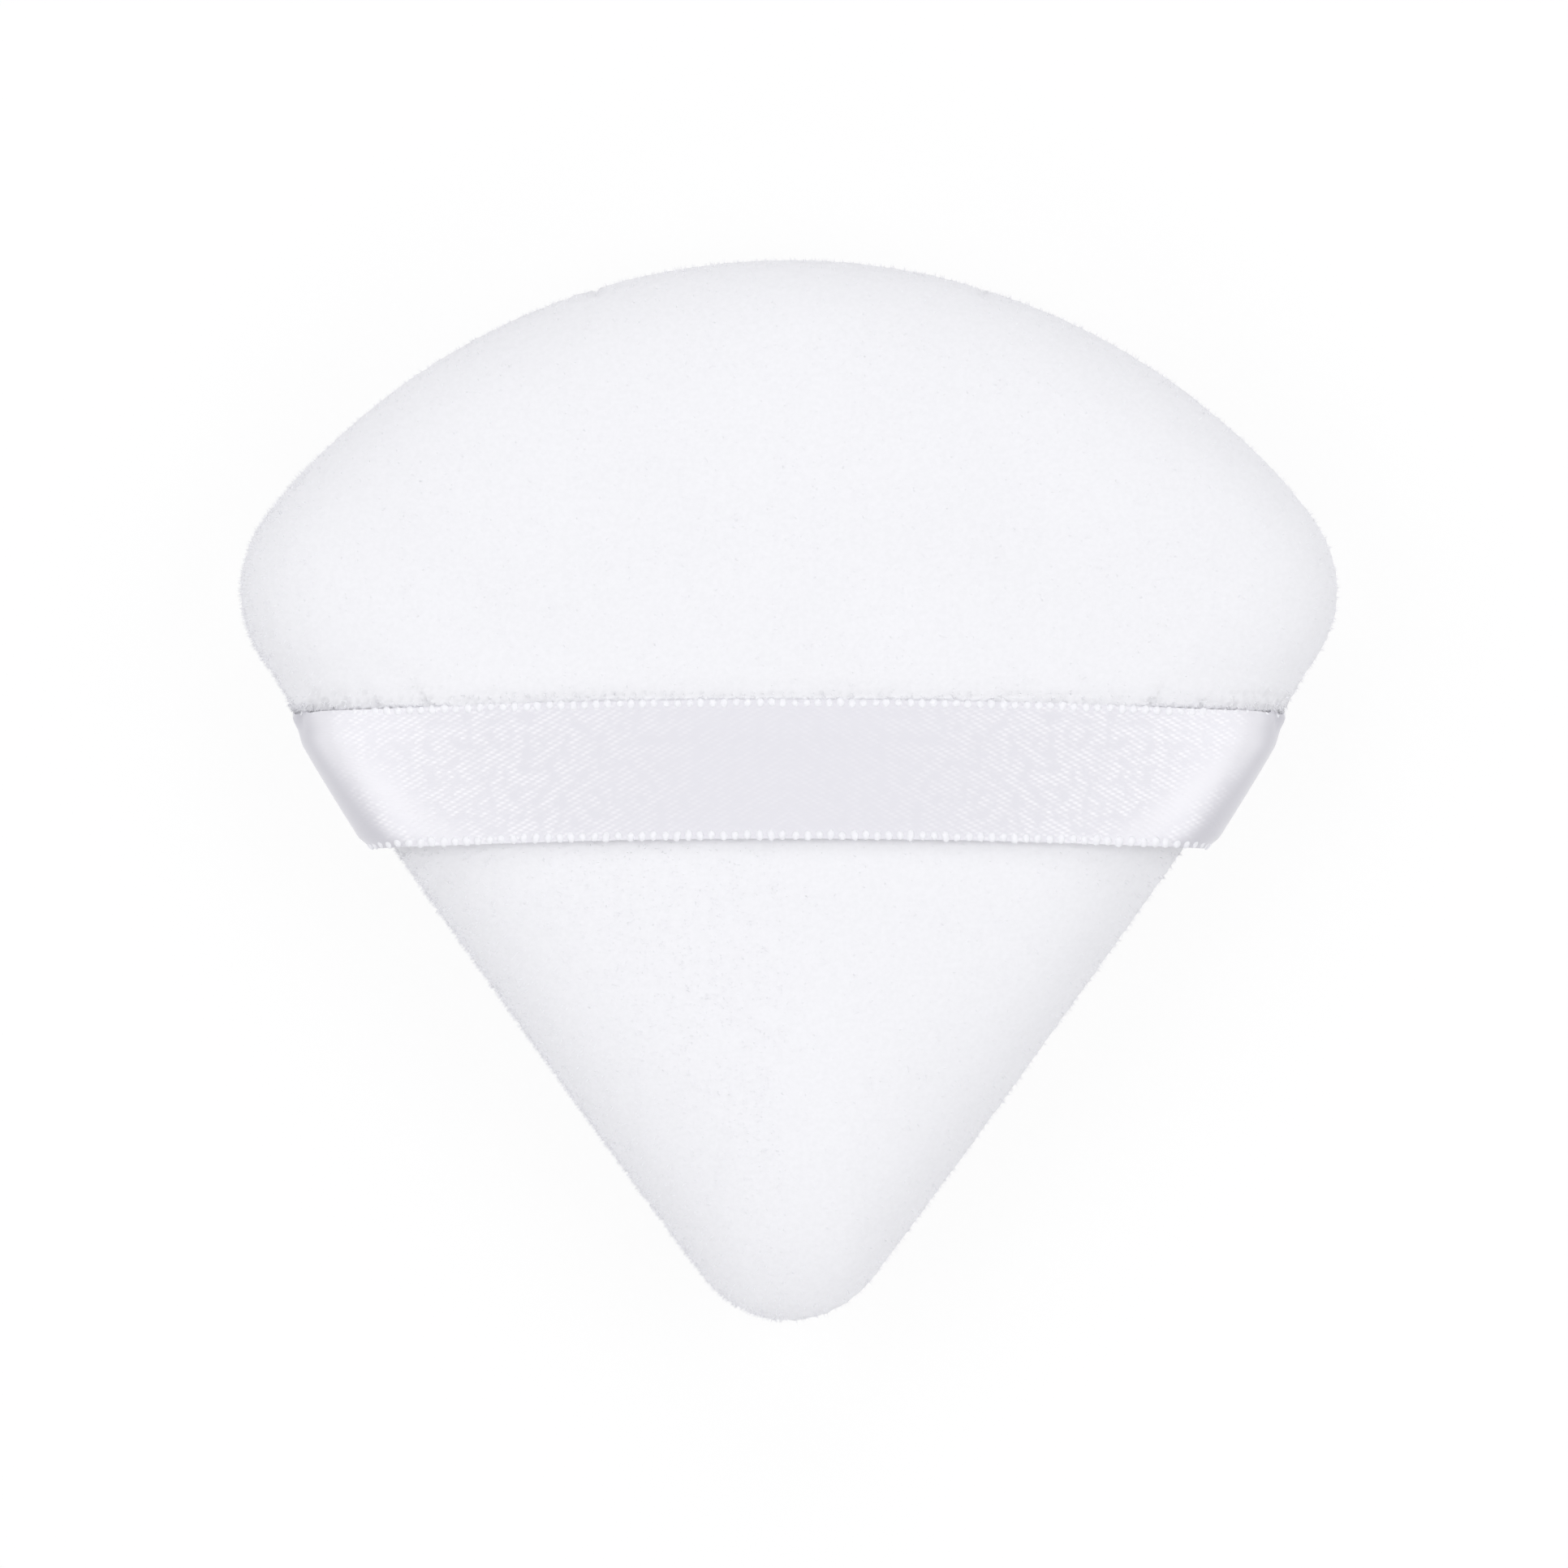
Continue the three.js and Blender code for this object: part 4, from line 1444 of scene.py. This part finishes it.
def twisted_thread(name, path, thickness, pitch=0.9):
    """Two plies round a path of points in mm; the path lies nearly level."""
    path = np.array(path)
    lengths = run_lengths(path)
    count = int(lengths[-1] / pitch * points_per_turn)
    at = np.linspace(0, lengths[-1], count)
    middle = read_at(at, lengths, path)
    ways = np.gradient(middle, axis=0)
    aside = np.stack([ways[:, 1], -ways[:, 0], np.zeros(count)], axis=1)
    aside /= np.linalg.norm(aside, axis=1)[:, None]
    yarn = bpy.data.curves.new(name, "CURVE")
    yarn.dimensions = "3D"
    yarn.bevel_depth = thickness / 4 * MM
    yarn.bevel_resolution = 1
    yarn.use_fill_caps = True
    for ply in (0, 1):
        turn = 2 * math.pi * at / pitch + ply * math.pi
        wound = middle + (thickness / 4) * (np.cos(turn)[:, None] * aside
                                            + np.sin(turn)[:, None] * np.array([0, 0, 1]))
        spline = yarn.splines.new("POLY")
        spline.points.add(count - 1)
        spline.points.foreach_set("co", np.column_stack([wound * MM, np.ones(count)]).ravel())
    thread = bpy.data.objects.new(name, yarn)
    bpy.context.scene.collection.objects.link(thread)
    pick_up(thread)
    bpy.ops.object.convert(target="MESH")
    close_up()
    thread = bpy.context.object
    print(name, "is", round(float(lengths[-1]), 1), "mm long,", len(thread.data.polygons), "faces")
    return thread


# %% Sew the machine seam
stitch_line, turning_gap, thread_thickness = 2.2, 25.0, 0.3
gap_angle = turning_gap / 2 / (broad_radius - stitch_line)
thread_rise, stitch_dip, dip_width = 0.25, 0.09, 0.4


def seam_path(side):
    """The needle thread, side 1, or the bobbin thread, side -1, with a dip at each stitch."""
    points = outline_points(0.25, stitch_line)
    angles = np.arctan2(points[:, 1] - broad_centre.y, points[:, 0])
    top = int(np.argmax(points[:, 1]))
    order = np.roll(np.arange(len(points)), -top)
    order = [i for i in order if abs(angles[i] - math.pi / 2) > gap_angle]
    run, path = 0.0, []
    for here, ahead in zip(order, order[1:]):
        phase = (run / seam_stitch % 1 - 0.5) * seam_stitch
        rise = raw_edge + thread_rise - stitch_dip * math.exp(-((phase / dip_width) ** 2))
        path.append((*points[here], side * rise + seam_height))
        run += float(np.linalg.norm(points[ahead] - points[here]))
    return path


needle = twisted_thread("needle_thread_twisted", seam_path(1), thread_thickness)
bobbin = twisted_thread("bobbin_thread_twisted", seam_path(-1), thread_thickness)

# %% Close the turning gap by hand
closing_thickness, closing_stitches, closing_reach = 0.25, 10, 1.4
closing_points = closing_stitches * 40
closing_path = []
for i in range(closing_points + 1):
    t = i / closing_points
    angle = math.pi / 2 + turning_gap * (t - 0.5) / broad_radius
    reach = closing_reach / 2 * (1 - math.cos(2 * math.pi * closing_stitches * t))
    radius = broad_radius - seam_roll - closing_thickness - reach
    x, y = radius * math.cos(angle), broad_centre.y + radius * math.sin(angle)
    closing_path.append((x, y, seam_height))
closing = twisted_thread("closing_thread_twisted", closing_path, closing_thickness, pitch=0.75)

# %% [markdown]
# The threads are spun polyester, bleached white. Spun yarn is made of short fibres, so
# it is a little hairy and duller than the satin: a fine fleck and a faint sheen.

# %% Mix the thread's finish
hair_size, hair_depth = 0.12, 0.02


def make_thread():
    material, yarn = new_finish("spun_polyester_thread")
    place = add_node(material, "ShaderNodeTexCoord").outputs["Object"]
    hairs = add_node(material, "ShaderNodeTexNoise", inputs={
        "Vector": place, "Scale": per(hair_size), "Detail": 3.0})
    shade = add_node(material, "ShaderNodeMix", {"data_type": "RGBA"}, {
        "Factor": hairs.outputs["Fac"], "A": colour("#e4e4e6"), "B": colour("#fafafa")})
    bump = add_node(material, "ShaderNodeBump", inputs={
        "Strength": 0.4, "Distance": hair_depth * MM, "Height": hairs.outputs["Fac"]})
    plug(material, yarn, {
        "Base Color": shade.outputs["Result"], "Normal": bump.outputs["Normal"],
        "Roughness": 0.65, "Sheen Weight": 0.2})
    return material


thread_white = make_thread()
for thread, node in (
    (needle, "needle_thread"), (bobbin, "bobbin_thread"), (closing, "closing_thread")
):
    smooth_finish(thread, thread_white)
    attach(thread, "puff")
    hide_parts(node)
print("threads:", needle.name, bobbin.name, closing.name, "in", thread_white.name)

# %% [markdown]
# ## Before the end
# The view layer is brought up to date.

# %% Finish
bpy.context.view_layer.update()
